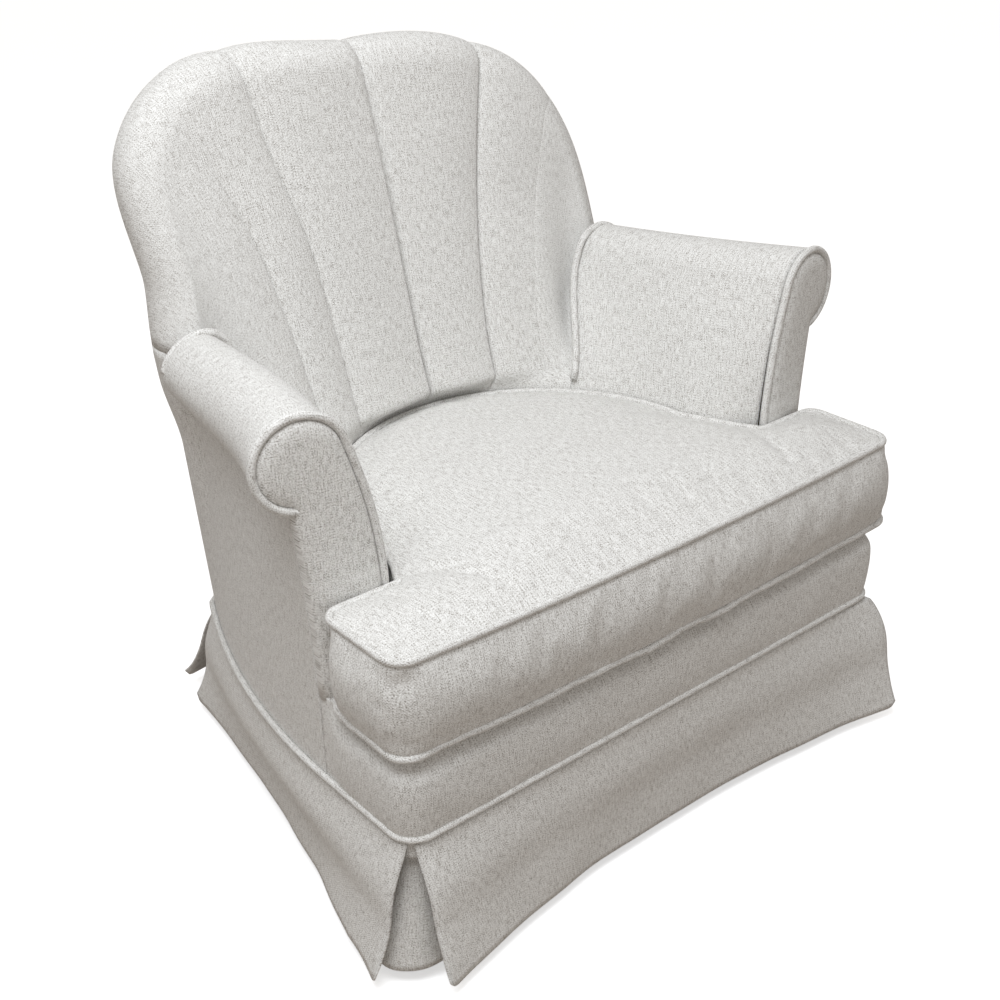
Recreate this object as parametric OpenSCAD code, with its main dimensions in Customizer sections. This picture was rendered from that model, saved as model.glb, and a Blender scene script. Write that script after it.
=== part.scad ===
// Upholstered swivel rocking chair: rolled arms, a channelled barrel back, a loose T-shaped seat
// cushion and a skirt with kick pleats, on a steel ring base with a ball race, a rock shaft and
// four coil springs. The front faces -Y, +Z is up, and the origin is on the floor, on the swivel axis.

/* [Seat cushion] */
// Width of the cushion across its front
cushion_w = 760; // [720:2:780]
// Depth of each ear of the cushion, in front of the arms
ear_d = 126; // [110:2:140]
// Height of the cushion's lower welt above the floor
cushion_z = 297; // [290:1:310]
// Height from the lower welt to the upper welt
cushion_t = 108; // [90:1:120]
// Rise of the crown above the upper welt
crown_h = 22; // [10:1:30]
// How far the sides draw in between the two welts
pinch_d = 3; // [0:0.5:6]
// How far the front edge bows forward at its middle
front_bow_d = 9; // [0:1:14]
// Thickness of the piping on every welted edge
welt_d = 9; // [6:0.5:11]

/* [Seat body] */
// Distance from the swivel axis forward to the cushion's front corners
reach = 308; // [300:1:316]
// Width of the upholstered body at the skirt welt
body_w = 750; // [740:2:760]
// Depth of the upholstered body from its front to its rear corners
body_d = 555; // [545:1:565]
// How much each side draws in from the arm's front to the rear corner
body_draw_d = 90; // [70:1:95]
// Height of the skirt welt above the floor
skirt_z = 186; // [180:1:192]
// Radius of the plan circle that the seat well's rear follows
well_r = 240; // [232:1:244]
// Distance from that circle's centre back to the body's rear corners
well_back_d = 327; // [323:1:333]
// Thickness of the padding on the front border and the sides
pad_t = 12; // [10:1:13]
// Thickness of the seat deck
deck_t = 22; // [18:1:24]

/* [Arms] */
// Depth of the arm's front face behind the cushion's front corners
arm_y = 132; // [131:1:136]
// Width from the body's side to the cushion's neck, at the front of each arm
arm_w = 94; // [90:1:100]
// Clearance from the cushion's neck to the front face of each arm
neck_gap_w = 20; // [19:1:22]
// Radius of the scroll at the arm's front
scroll_r = 50; // [46:1:52]
// Height of the scroll's centre above the floor
scroll_z = 565; // [555:1:575]
// Distance from the body's side out to the scroll's centre
scroll_out_w = 2; // [0:0.5:5]
// Angle by which each arm's front face sets back towards the outside
face_set = 8.7; // [6:0.1:10]
// Distance from the end of each rolled arm back to the body's rear corners
arm_end_d = 100; // [94:1:112]

/* [Back] */
// Height of the top of the back
back_z = 865; // [850:1:880]
// How much narrower the back is at its widest than the body
back_in_w = 88; // [80:2:100]
// How far the middle of the back's crest stands behind the body's rear corners
crest_back_d = 35; // [25:1:45]
// Thickness of the back from its face to its outside, at the rolled edge
edge_d = 88; // [80:1:92]
// Radius of the rolled edge, seen from the front
edge_r = 27; // [25:1:30]
// Depth of the grooves between the channels
groove_d = 8; // [4:1:11]
// Thickness of the channel padding
channel_t = 36; // [30:1:40]

/* [Skirt] */
// Clearance from the hem to the floor
hem_z = 17; // [12:1:22]
// How far the front hem's corners stand out in front of the skirt welt
flare_front_d = 52; // [40:1:56]
// How far the side hems' front corners stand out beyond the skirt welt
flare_side_d = 46; // [36:1:48]
// How far the rear hem stands out behind the skirt welt
flare_rear_d = 90; // [70:1:92]
// Thickness of a skirt panel with its lining
skirt_t = 3; // [2:0.5:4]

/* [Wooden frame] */
// Thickness of the hardwood rails
rail_t = 28; // [24:1:30]
// Diameter of the wire of the seat's and the back's wave springs
wave_wire_d = 4; // [3:0.5:4]
// Number of wave springs under the seat
seat_spring_count = 4; // [3:1:4]

/* [Swivel and rocker] */
// Diameter of the base ring's centre line
ring_d = 450; // [400:5:470]
// Diameter of the ring's tube
ring_tube_d = 25; // [20:1:28]
// Height of the floor glides under the tube
glide_h = 12; // [8:1:14]
// Number of bearing balls
ball_count = 16; // [10:1:18]
// Diameter of a bearing ball
ball_d = 9.5; // [8:0.5:10]
// Diameter of the swivel pin
pin_d = 20; // [16:1:22]
// Diameter of the rock shaft
shaft_d = 16; // [14:1:18]
// Height of the rock shaft's centre above the floor
shaft_z = 118; // [116:1:120]
// Largest angle that the seat rocks back
rock_back = 12; // [8:1:13]
// Largest angle that the seat rocks forward
rock_front = 9; // [6:1:10]
// Outer diameter of a rocker spring's coil
coil_d = 45; // [40:1:48]
// Diameter of a rocker spring's wire
coil_wire_d = 5; // [4:0.5:6]
// Number of curls in a rocker spring
coil_turns = 5; // [4:1:6]

/* [Hidden] */

// Shared small sizes
gap = 0.3;
run_gap = 0.05;
over = 1;
welt_r = welt_d / 2;
welt_clear = 1;
fabric = "#cdc8bf";
wood = "#b98f5c";
steel = "#3c3d40";

// Heights of the swivel, from the floor up
bar_w = 40;
bar_t = 8;
saddle_d = 3;
race_t = 6;
race_d = 170;
race_bore_d = 60;
groove_gap = 0.25;
plate_d = 190;
yoke_t = 4;
ear_t = 6;
bracket_t = 5;
tube_r = ring_tube_d / 2;
ring_z = glide_h + tube_r;
bar_z = ring_z + tube_r - saddle_d;
race_z = bar_z + bar_t;
track_r = ball_d / 2 + groove_gap;
track_bite = track_r / 2;
ball_z = race_z + race_t - track_bite + track_r;
plate_z = ball_z + track_r - track_bite;
yoke_z = plate_z + race_t;
yoke_top = yoke_z + yoke_t;
track_d = 130;
bracket_rise_h = 34;
bracket_z = shaft_z + bracket_rise_h;
bracket_top = bracket_z + bracket_t;
cloth_t = 1;
frame_z = bracket_top + cloth_t;

// Parts around the rock shaft
ear_x = 96;
ear_r = 20;
ear_w = 52;
flange_x = 84;
flange_w = 48;
flange_drop_r = 18;
bushing_r = 12;
bushing_l = 12;
clip_t = 3;
clip_r = 13;
shaft_end_l = 7;
shaft_l = 2 * (ear_x + ear_t + shaft_end_l);
spring_x = 48;
spring_y = 95;
seat_peg_r = 16;
seat_peg_h = 10;
peg_taper_r = 1;
stop_y = 128;
stop_r = 11;
yoke_plate_x = 75;
yoke_plate_y = 143;
bracket_half_x = 105;
bracket_half_y = 150;

// Seat levels, from the cushion down to the frame's rails
deck_top = cushion_z - welt_r - gap;
deck_z = deck_top - deck_t;
wave_z = deck_z - gap - wave_wire_d / 2;
rail_top = wave_z - wave_wire_d / 2 - gap;
seat_line = cushion_z + cushion_t;
foot_z = deck_z;

// Joins two values in a share from 0 to 1
function mix(a, b, t) = a + (b - a) * t;
function clamp(t) = min(1, max(0, t));
function ease(t) = clamp(t) * clamp(t) * (3 - 2 * clamp(t));
function total(v) = v * [for (i = v) 1];
function unit(v) = v / norm(v);
// Points are worked out by their depth behind the cushion's front corners, then placed
function placed(p) = [p[0], p[1] - reach, p[2]];
function placed_grid(grid) = [for (row = grid) [for (p = row) placed(p)]];
function mirrored(grid) = [for (row = grid) [for (p = row) [-p[0], p[1], p[2]]]];
function mirrored_path(path) = [for (p = path) [-p[0], p[1], p[2]]];
// Moves a path in plan to its right-hand side
function beside(path, d, closed) = [for (i = [0 : len(path) - 1])
    let (
        n = len(path),
        a = path[closed ? (i + n - 1) % n : max(0, i - 1)],
        b = path[closed ? (i + 1) % n : min(n - 1, i + 1)],
        ahead = unit(b - a)
    )
    path[i] + d * [ahead[1], -ahead[0]]];

// Closed solid from points and faces, with every face turned outwards
function swept_volume(pts, faces) = total([for (f = faces) cross(pts[f[0]], pts[f[1]]) * pts[f[2]]]);
module solid(pts, faces) {
    turned = swept_volume(pts, faces) > 0 ? [for (f = faces) [f[2], f[1], f[0]]] : faces;
    polyhedron(points = pts, faces = turned);
}

// Closed solid between two grids of points that have equal rows and columns
module shell(outer, inner) {
    rows = len(outer);
    cols = len(outer[0]);
    size = rows * cols;
    pts = concat([for (row = outer) each row], [for (row = inner) each row]);
    rim = concat(
        [for (c = [0 : cols - 1]) c],
        [for (r = [1 : rows - 1]) r * cols + cols - 1],
        [for (c = [cols - 2 : -1 : 0]) (rows - 1) * cols + c],
        [for (r = [rows - 2 : -1 : 1]) r * cols]
    );
    count = len(rim);
    solid(pts, concat(
        [for (r = [0 : rows - 2]) for (c = [0 : cols - 2]) let (i = r * cols + c)
            each [[i, i + 1, i + cols + 1], [i, i + cols + 1, i + cols]]],
        [for (r = [0 : rows - 2]) for (c = [0 : cols - 2]) let (i = size + r * cols + c)
            each [[i + cols + 1, i + 1, i], [i + cols, i + cols + 1, i]]],
        [for (k = [0 : count - 1]) let (a = rim[k], b = rim[(k + 1) % count])
            each [[b, a, a + size], [b, a + size, b + size]]]
    ));
}

// Closed solid from rings of equal length, closed by a point at each end
module ringed(rings, first, last) {
    count = len(rings[0]);
    levels = len(rings);
    foot = count * levels;
    roof = count * (levels - 1);
    solid(concat([for (ring = rings) each ring], [first, last]), concat(
        [for (k = [0 : levels - 2]) for (c = [0 : count - 1])
            let (a = k * count + c, b = k * count + (c + 1) % count)
            each [[a, b, b + count], [a, b + count, a + count]]],
        [for (c = [0 : count - 1]) [foot, (c + 1) % count, c]],
        [for (c = [0 : count - 1]) [foot + 1, roof + c, roof + (c + 1) % count]]
    ));
}

// Round tube along a path: closed on itself, or with flat ends
module tube(path, d, sides, up, closed = false) {
    n = len(path);
    rings = [for (i = [0 : n - 1])
        let (
            a = path[closed ? (i + n - 1) % n : max(0, i - 1)],
            b = path[closed ? (i + 1) % n : min(n - 1, i + 1)],
            ahead = unit(b - a),
            side = unit(cross(ahead, up)),
            rise = cross(side, ahead)
        )
        [for (k = [0 : sides - 1]) let (q = 360 * (k + 0.5) / sides)
            path[i] + d / 2 * (cos(q) * side + sin(q) * rise)]];
    spans = closed ? n : n - 1;
    roof = (n - 1) * sides;
    solid([for (ring = rings) each ring], concat(
        [for (i = [0 : spans - 1]) for (k = [0 : sides - 1])
            let (
                a = i * sides + k, b = i * sides + (k + 1) % sides,
                c = ((i + 1) % n) * sides + k, e = ((i + 1) % n) * sides + (k + 1) % sides
            )
            each [[a, b, e], [a, e, c]]],
        closed ? [] : [for (k = [1 : sides - 2]) [0, k + 1, k]],
        closed ? [] : [for (k = [1 : sides - 2]) [roof, roof + k, roof + k + 1]]
    ));
}

// Outline of the seat body
front_y = 4;
body_half = body_w / 2;
neck_half = body_half - arm_w;
arm_half = neck_half + neck_gap_w;
well_y = body_d - well_back_d;
corner_r = 26;
corner_x = body_half - corner_r;
corner_y = front_y + corner_r;
rear_bow_d = 16;
side_steps = 8;
face_t = 10;
face_tan = tan(face_set);
pad_y = arm_y + face_t + gap;
side_front = pad_y + (body_half - arm_half) * face_tan;
// Half width of the body's outside at a depth
function side_x(depth) =
    body_half - body_draw_d * pow(clamp((depth - side_front) / (body_d - side_front)), 2);
rear_x = side_x(body_d);
function rear_y(x) = body_d + rear_bow_d * (1 - pow(x / rear_x, 2));

// Half width of the seat well at a depth, then the barrel of the back
flare_run_l = 40;
well_gap = welt_r + welt_clear;
inner_r = well_r + well_gap;
function well_line(depth) = mix(neck_half, well_r, clamp((depth - ear_d) / (well_y - ear_d)));
function arm_flare(depth) =
    (arm_half - neck_half - welt_r) * pow(clamp(1 - (depth - pad_y) / flare_run_l), 2);
function well_x(depth) = arm_flare(depth) + (depth < well_y ? well_line(depth) + well_gap
    : sqrt(inner_r * inner_r - pow(depth - well_y, 2)));

// Copies a child at the spring places of the rows given by their signs
module at_springs(signs) {
    for (sx = [-1, 1], sy = signs) translate([sx * spring_x, sy * spring_y, 0]) children();
}

// Floor ring
module base_ring() {
    color(steel) translate([0, 0, ring_z])
        rotate_extrude($fn = 96) translate([ring_d / 2, 0]) circle(r = tube_r, $fn = 32);
}

module ring_space() {
    translate([0, 0, ring_z])
        rotate_extrude($fn = 96) translate([ring_d / 2, 0]) circle(r = tube_r + gap / 3, $fn = 32);
}

// Crossed bars on the ring, with the hub that holds the pin
hub_d = 120;
module base_cross() {
    bar_l = ring_d + ring_tube_d;
    color(steel) difference() {
        union() {
            for (a = [45, 135]) rotate([0, 0, a])
                translate([-bar_l / 2, -bar_w / 2, bar_z]) cube([bar_l, bar_w, bar_t]);
            translate([0, 0, bar_z]) cylinder(d = hub_d, h = bar_t, $fn = 64);
        }
        ring_space();
        translate([0, 0, bar_z - over])
            cylinder(r = pin_d / 2 + run_gap, h = bar_t + 2 * over, $fn = 48);
    }
}

glide_d = 34;
glide_count = 4;
glide_wall = 8;
module floor_glides() {
    color("#26262a") for (k = [0 : glide_count - 1]) rotate([0, 0, 360 * (k + 0.5) / glide_count])
        difference() {
            translate([ring_d / 2, 0, 0]) cylinder(d = glide_d, h = glide_h + glide_wall, $fn = 40);
            ring_space();
        }
}

// Pin welded into the hub, with its head below
pin_head_d = 36;
pin_head_t = 5;
washer_t = 3;
washer_d = 48;
washer_hole_d = 50.4;
nut_h = 12;
nut_flats = 30;
washer_z = yoke_z + gap;
nut_z = washer_z + washer_t + gap;
pin_end_l = 2;
pin_top = nut_z + nut_h + pin_end_l;
module king_pin() {
    color(steel) union() {
        translate([0, 0, bar_z - pin_head_t]) cylinder(d = pin_head_d, h = pin_head_t, $fn = 48);
        translate([0, 0, bar_z - over]) cylinder(d = pin_d, h = pin_top - bar_z + over, $fn = 48);
    }
}

module track() {
    translate([0, 0, ball_z])
        rotate_extrude($fn = 96) translate([track_d / 2, 0]) circle(r = track_r, $fn = 32);
}

module lower_race() {
    color("#8d9094") difference() {
        translate([0, 0, race_z]) cylinder(d = race_d, h = race_t, $fn = 96);
        translate([0, 0, race_z - over]) cylinder(d = race_bore_d, h = race_t + 2 * over, $fn = 64);
        track();
    }
}

module ball_places() {
    for (k = [0 : ball_count - 1]) rotate([0, 0, 360 * k / ball_count])
        translate([track_d / 2, 0, ball_z]) children();
}

module bearing_balls() {
    color("silver") ball_places() sphere(d = ball_d, $fn = 32);
}

cage_t = 3;
cage_w = 20;
module ball_cage() {
    color("#caa85a") difference() {
        translate([0, 0, ball_z - cage_t / 2])
            cylinder(d = track_d + cage_w, h = cage_t, $fn = 96);
        translate([0, 0, ball_z - cage_t / 2 - over])
            cylinder(d = track_d - cage_w, h = cage_t + 2 * over, $fn = 96);
        ball_places() translate([0, 0, -cage_t])
            cylinder(d = ball_d + 2 * gap, h = 2 * cage_t, $fn = 32);
    }
}

module king_washer() {
    color("#8d9094") translate([0, 0, washer_z]) difference() {
        cylinder(d = washer_d, h = washer_t, $fn = 64);
        translate([0, 0, -over])
            cylinder(r = pin_d / 2 + run_gap, h = washer_t + 2 * over, $fn = 48);
    }
}

module king_nut() {
    color("#8d9094") translate([0, 0, nut_z]) difference() {
        cylinder(d = nut_flats / cos(30), h = nut_h, $fn = 6);
        translate([0, 0, -over])
            cylinder(r = pin_d / 2 + run_gap, h = nut_h + 2 * over, $fn = 48);
    }
}

// Turning plate that carries the upper ball track
bushing_wall = 5;
module swivel_plate() {
    color(steel) difference() {
        translate([0, 0, plate_z]) cylinder(d = plate_d, h = race_t, $fn = 96);
        translate([0, 0, plate_z - over])
            cylinder(r = pin_d / 2 + bushing_wall, h = race_t + 2 * over, $fn = 48);
        track();
    }
}

module pivot_bushing() {
    color("ivory") translate([0, 0, plate_z]) difference() {
        cylinder(r = pin_d / 2 + bushing_wall - run_gap, h = race_t, $fn = 48);
        translate([0, 0, -over])
            cylinder(r = pin_d / 2 + run_gap, h = race_t + 2 * over, $fn = 48);
    }
}

// Yoke with two ears that hold the rock shaft
module yoke_ear() {
    rotate([90, 0, 90]) linear_extrude(ear_t) difference() {
        union() {
            translate([0, shaft_z]) circle(r = ear_r, $fn = 64);
            polygon([[-ear_w / 2, yoke_z], [ear_w / 2, yoke_z], [ear_r, shaft_z], [-ear_r, shaft_z]]);
        }
        translate([0, shaft_z]) circle(r = shaft_d / 2 + run_gap, $fn = 48);
    }
}

module rocker_yoke() {
    color(steel) difference() {
        union() {
            translate([-ear_x - ear_t, -ear_w / 2, yoke_z])
                cube([2 * (ear_x + ear_t), ear_w, yoke_t]);
            translate([-yoke_plate_x, -yoke_plate_y, yoke_z])
                cube([2 * yoke_plate_x, 2 * yoke_plate_y, yoke_t]);
            translate([ear_x, 0, 0]) yoke_ear();
            translate([-ear_x - ear_t, 0, 0]) yoke_ear();
        }
        translate([0, 0, yoke_z - over])
            cylinder(d = washer_hole_d, h = yoke_t + 2 * over, $fn = 64);
    }
}

module along_x(x, r, l) {
    translate([x, 0, shaft_z]) rotate([0, 90, 0]) cylinder(r = r, h = l, $fn = 48);
}

module rock_shaft() {
    color("#a9acb0") along_x(-shaft_l / 2, shaft_d / 2, shaft_l);
}

module shaft_clips() {
    color("#5b5d60") for (x = [ear_x + ear_t + gap, -ear_x - ear_t - gap - clip_t]) difference() {
        along_x(x, clip_r, clip_t);
        along_x(x - over, shaft_d / 2 + run_gap, clip_t + 2 * over);
    }
}

// Pegs that centre the coil springs
module lower_spring_seats() {
    color(steel) translate([0, 0, yoke_top]) at_springs([-1, 1])
        cylinder(r1 = seat_peg_r, r2 = seat_peg_r - peg_taper_r, h = seat_peg_h, $fn = 40);
}

module upper_spring_seats() {
    color(steel) translate([0, 0, bracket_z - seat_peg_h]) at_springs([-1, 1])
        cylinder(r1 = seat_peg_r - peg_taper_r, r2 = seat_peg_r, h = seat_peg_h, $fn = 40);
}

// Rubber stops just under the bracket's place at each end of its rock
function stop_top(angle) =
    shaft_z + bracket_rise_h / cos(angle) - (stop_y + stop_r) * tan(angle) - 2 * gap;
module bump_stops() {
    color("#1f1f20") for (e = [[-1, rock_front], [1, rock_back]])
        translate([0, e[0] * stop_y, yoke_top])
            cylinder(r = stop_r, h = stop_top(e[1]) - yoke_top, $fn = 40);
}

// Coil springs between the yoke and the bracket
ring_sides = 6;
rings_per_turn = 8;
coil_low = yoke_top + gap + coil_wire_d / 2;
coil_high = bracket_z - gap - coil_wire_d / 2;
coil_points = [for (i = [0 : coil_turns * rings_per_turn])
    let (q = 360 * i / rings_per_turn, r = (coil_d - coil_wire_d) / 2)
    [r * cos(q), r * sin(q), mix(coil_low, coil_high, i / (coil_turns * rings_per_turn))]];
coil_self_gap = min([for (i = [0 : len(coil_points) - 1 - rings_per_turn])
    norm(coil_points[i + rings_per_turn] - coil_points[i])]) - coil_wire_d;
echo("least gap between the curls of a rocker spring", coil_self_gap);

module coil() {
    tube(coil_points, coil_wire_d, ring_sides, [0, 0, 1]);
}

module front_rocker_springs() {
    color("#77797c") at_springs([-1]) coil();
}

module rear_rocker_springs() {
    color("#77797c") at_springs([1]) coil();
}

// Bracket under the seat frame, with flanges that turn on the shaft
module flange() {
    rotate([90, 0, 90]) linear_extrude(bracket_t) difference() {
        union() {
            translate([0, shaft_z]) circle(r = flange_drop_r, $fn = 64);
            translate([-flange_w / 2, shaft_z]) square([flange_w, bracket_rise_h + bracket_t / 2]);
        }
        translate([0, shaft_z]) circle(r = bushing_r + run_gap, $fn = 48);
    }
}

bolt_x = 88;
bolt_share = 0.542;
bolt_y = bolt_share * (body_d - pad_t - gap - rail_t - reach);
bolt_d = 8;
module rocker_bracket() {
    color(steel) difference() {
        union() {
            translate([-bracket_half_x, -bracket_half_y, bracket_z])
                cube([2 * bracket_half_x, 2 * bracket_half_y, bracket_t]);
            translate([flange_x, 0, 0]) flange();
            translate([-flange_x - bracket_t, 0, 0]) flange();
        }
        bolt_places() translate([0, 0, bracket_z - over])
            cylinder(r = bolt_d / 2 + gap, h = bracket_t + 2 * over, $fn = 32);
    }
}

module shaft_bushings() {
    low_x = flange_x + bracket_t / 2 - bushing_l / 2;
    color("ivory") for (x = [low_x, -low_x - bushing_l]) difference() {
        along_x(x, bushing_r, bushing_l);
        along_x(x - over, shaft_d / 2 + run_gap, bushing_l + 2 * over);
    }
}

module bolt_places() {
    for (sx = [-1, 1], sy = [-1, 1]) translate([sx * bolt_x, sy * bolt_y, 0]) children();
}

bolt_head_h = 5;
bolt_head_d = 15;
bracket_rail_h = 30;
module bracket_bolts() {
    color("#8d9094") bolt_places() union() {
        translate([0, 0, bracket_z - bolt_head_h]) cylinder(d = bolt_head_d, h = bolt_head_h, $fn = 6);
        translate([0, 0, bracket_z - over])
            cylinder(d = bolt_d, h = bracket_t + cloth_t + bracket_rail_h + over, $fn = 32);
    }
}

module bolt_holes(z, h) {
    bolt_places() translate([0, 0, z - over]) cylinder(r = bolt_d / 2 + gap, h = h + 2 * over, $fn = 32);
}

// Outline of the wooden frame in plan, set in from the outside
rail_ys = [for (k = [0 : side_steps]) mix(corner_y, body_d - pad_t - gap, k / side_steps)];
function plan_side(inset) = concat(
    [for (a = [-90, -60, -30]) let (r = max(gap, corner_r - inset))
        [corner_x + r * cos(a), corner_y + r * sin(a)]],
    [for (y = rail_ys) [side_x(y) - inset, y]]
);
module frame_plan(inset) {
    side = plan_side(inset);
    last = len(side) - 1;
    translate([0, -reach]) polygon(concat(side, [for (k = [last : -1 : 0]) [-side[k][0], side[k][1]]]));
}

rail_inset = pad_t + gap;
module dust_cover() {
    color("#2b2a29") difference() {
        translate([0, 0, bracket_top]) linear_extrude(cloth_t) frame_plan(rail_inset);
        bolt_holes(bracket_top, cloth_t);
    }
}

// Two cross rails that the bracket is bolted to
bracket_rail_w = 60;
module bracket_rails() {
    color(wood) difference() {
        intersection() {
            for (sy = [-1, 1])
                translate([-body_half, sy * bolt_y - bracket_rail_w / 2, frame_z])
                    cube([body_w, bracket_rail_w, bracket_rail_h]);
            translate([0, 0, frame_z]) linear_extrude(bracket_rail_h)
                frame_plan(rail_inset + rail_t + 2 * gap);
        }
        bolt_holes(frame_z, bracket_rail_h);
    }
}

front_rail_back = front_y + pad_t + rail_t;
rear_rail_front = body_d - rail_inset - rail_t;
rail_h = rail_top - frame_z;
module rail_block(from_y, to_y) {
    intersection() {
        translate([0, 0, frame_z]) linear_extrude(rail_h) frame_plan(rail_inset);
        translate([-body_half, from_y - reach, frame_z]) cube([body_w, to_y - from_y, rail_h]);
    }
}

module front_rail() {
    color(wood) rail_block(front_y + pad_t, front_rail_back);
}

module rear_rail() {
    color(wood) rail_block(rear_rail_front, body_d - rail_inset);
}

side_rail_ys = [for (k = [0 : side_steps]) mix(front_rail_back, rear_rail_front, k / side_steps)];
module right_side_rail() {
    color(wood) translate([0, -reach, frame_z]) linear_extrude(rail_h) polygon(concat(
        [for (y = side_rail_ys) [side_x(y) - rail_inset, y]],
        [for (k = [side_steps : -1 : 0])
            [side_x(side_rail_ys[k]) - rail_inset - rail_t, side_rail_ys[k]]]
    ));
}

module left_side_rail() {
    mirror([1, 0, 0]) right_side_rail();
}

// Rolled arm: centre line and radius of the roll along the arm, from front to rear
roll_l = body_d - arm_end_d - pad_y;
scroll_x = body_half + scroll_out_w;
roll_draw_w = 95;
roll_spread_w = 28;
roll_fall_h = 9;
roll_taper_r = 10;
function roll_at(s) =
    [scroll_x - roll_draw_w * s + roll_spread_w * s * s, pad_y + roll_l * s, scroll_z - roll_fall_h * s];
function roll_r(s) = scroll_r - roll_taper_r * s;
function on_roll(s, a, e) =
    roll_at(s) + (roll_r(s) - e) * [cos(a), 0, sin(a)];

// One section of the arm's padding: up its inside, over the roll and under it to the outside
arm_steps = 10;
slope_shares = [0, 0.15, 0.3, 0.62];
roll_angles = [158, 130, 102, 74, 46, 18, -12, -44, -74];
tangent_a = roll_angles[0];
last_a = roll_angles[8];
arm_pad_t = 14;
slope_belly_d = 7;
foot_short_l = 72;
foot_run_l = roll_l - foot_short_l;
function foot_y(s) = pad_y + foot_run_l * s;
function foot_x(s) = well_x(foot_y(s));
function slope_at(s, t, e) =
    let (tip = on_roll(s, tangent_a, e))
    [mix(foot_x(s) + e, tip[0], t) - slope_belly_d * sin(180 * t) * (1 - s),
        mix(foot_y(s), tip[1], ease(t)), mix(seat_line, tip[2], t)];
function arm_section(s, e) = concat(
    [[foot_x(s) + e, foot_y(s), foot_z]],
    [for (t = slope_shares) slope_at(s, t, e)],
    [for (a = roll_angles) on_roll(s, a, e)]
);
// Sets the front of the arm back with its slanted face, less so further along the arm
function slanted(p, s) = [p[0], p[1] + max(0, p[0] - arm_half) * face_tan * (1 - s), p[2]];
function arm_grid(e) = [for (k = [0 : arm_steps]) let (s = k / arm_steps)
    [for (p = arm_section(s, e)) slanted(p, s)]];

module right_arm_pad() {
    color(fabric) shell(placed_grid(arm_grid(0)), placed_grid(arm_grid(arm_pad_t)));
}

module left_arm_pad() {
    color(fabric) shell(mirrored(placed_grid(arm_grid(0))), mirrored(placed_grid(arm_grid(arm_pad_t))));
}

// Front panel of the arm, inside the welt that outlines the scroll
face_z = deck_top + gap;
notch_z = scroll_z - scroll_r - welt_r;
function face_outline(e) = concat(
    [[foot_x(0) + e, face_z]],
    [for (t = slope_shares) let (p = slope_at(0, t, e)) [p[0], p[2]]],
    [for (a = roll_angles) let (p = on_roll(0, a, e)) [p[0], p[2]]],
    [[body_half - e, notch_z], [body_half - e, face_z]]
);
module arm_face() {
    translate([arm_half, arm_y + face_t - reach, 0]) rotate([0, 0, face_set])
        translate([-arm_half, 0, 0]) rotate([90, 0, 0]) linear_extrude(face_t)
            polygon(face_outline(welt_r + gap / 2));
}

module right_arm_front() {
    color(fabric) arm_face();
}

module left_arm_front() {
    color(fabric) mirror([1, 0, 0]) arm_face();
}

// Piping around the scroll
scroll_path = concat(
    [let (p = slope_at(0, 0, 0)) [p[0], pad_y - gap - face_t / 2, face_z + welt_r]],
    [for (t = slope_shares) let (p = slope_at(0, t, 0)) [p[0], pad_y - gap - face_t / 2, p[2]]],
    [for (a = [for (k = [0 : 14]) mix(tangent_a, last_a, k / 14)])
        let (p = on_roll(0, a, 0)) [p[0], pad_y - gap - face_t / 2, p[2]]],
    [for (z = [notch_z, mix(notch_z, face_z, 0.5), face_z + welt_r])
        [body_half, pad_y - gap - face_t / 2, z]]
);
module arm_welts() {
    path = [for (p = scroll_path) placed(slanted(p, 0))];
    color(fabric) for (side = [path, mirrored_path(path)])
        tube(side, welt_d, ring_sides, [0, 1, 0]);
}

// Crest of the back, and the rolled edge around it
crest_share = 0.597;
fan_share = 1.15;
back_w = body_w - back_in_w;
crest_y = body_d + crest_back_d;
crest_lift_h = 5;
crest_x = back_w / 2 - edge_r;
crest_low = scroll_z + crest_lift_h;
crest_rise = back_z - edge_r - crest_low;
crest_near = pad_y + roll_l + 2 * gap + edge_d / 2;
function crest_angle(u) = 90 * pow(abs(u), fan_share);
function crest(u) =
    let (rise = pow(cos(crest_angle(u)), crest_share))
    [sign(u) * crest_x * pow(sin(crest_angle(u)), crest_share), mix(crest_near, crest_y, rise),
        crest_low + crest_rise * rise];
function crest_out(u) = unit([
    sign(u) * pow(sin(crest_angle(u)), 2 - crest_share) / crest_x, 0,
    pow(cos(crest_angle(u)), 2 - crest_share) / crest_rise
]);
function rolled(u, a, e) =
    crest(u) + (edge_r - e) * cos(a) * crest_out(u) + [0, (edge_d / 2 - e) * sin(a), 0];

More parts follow.
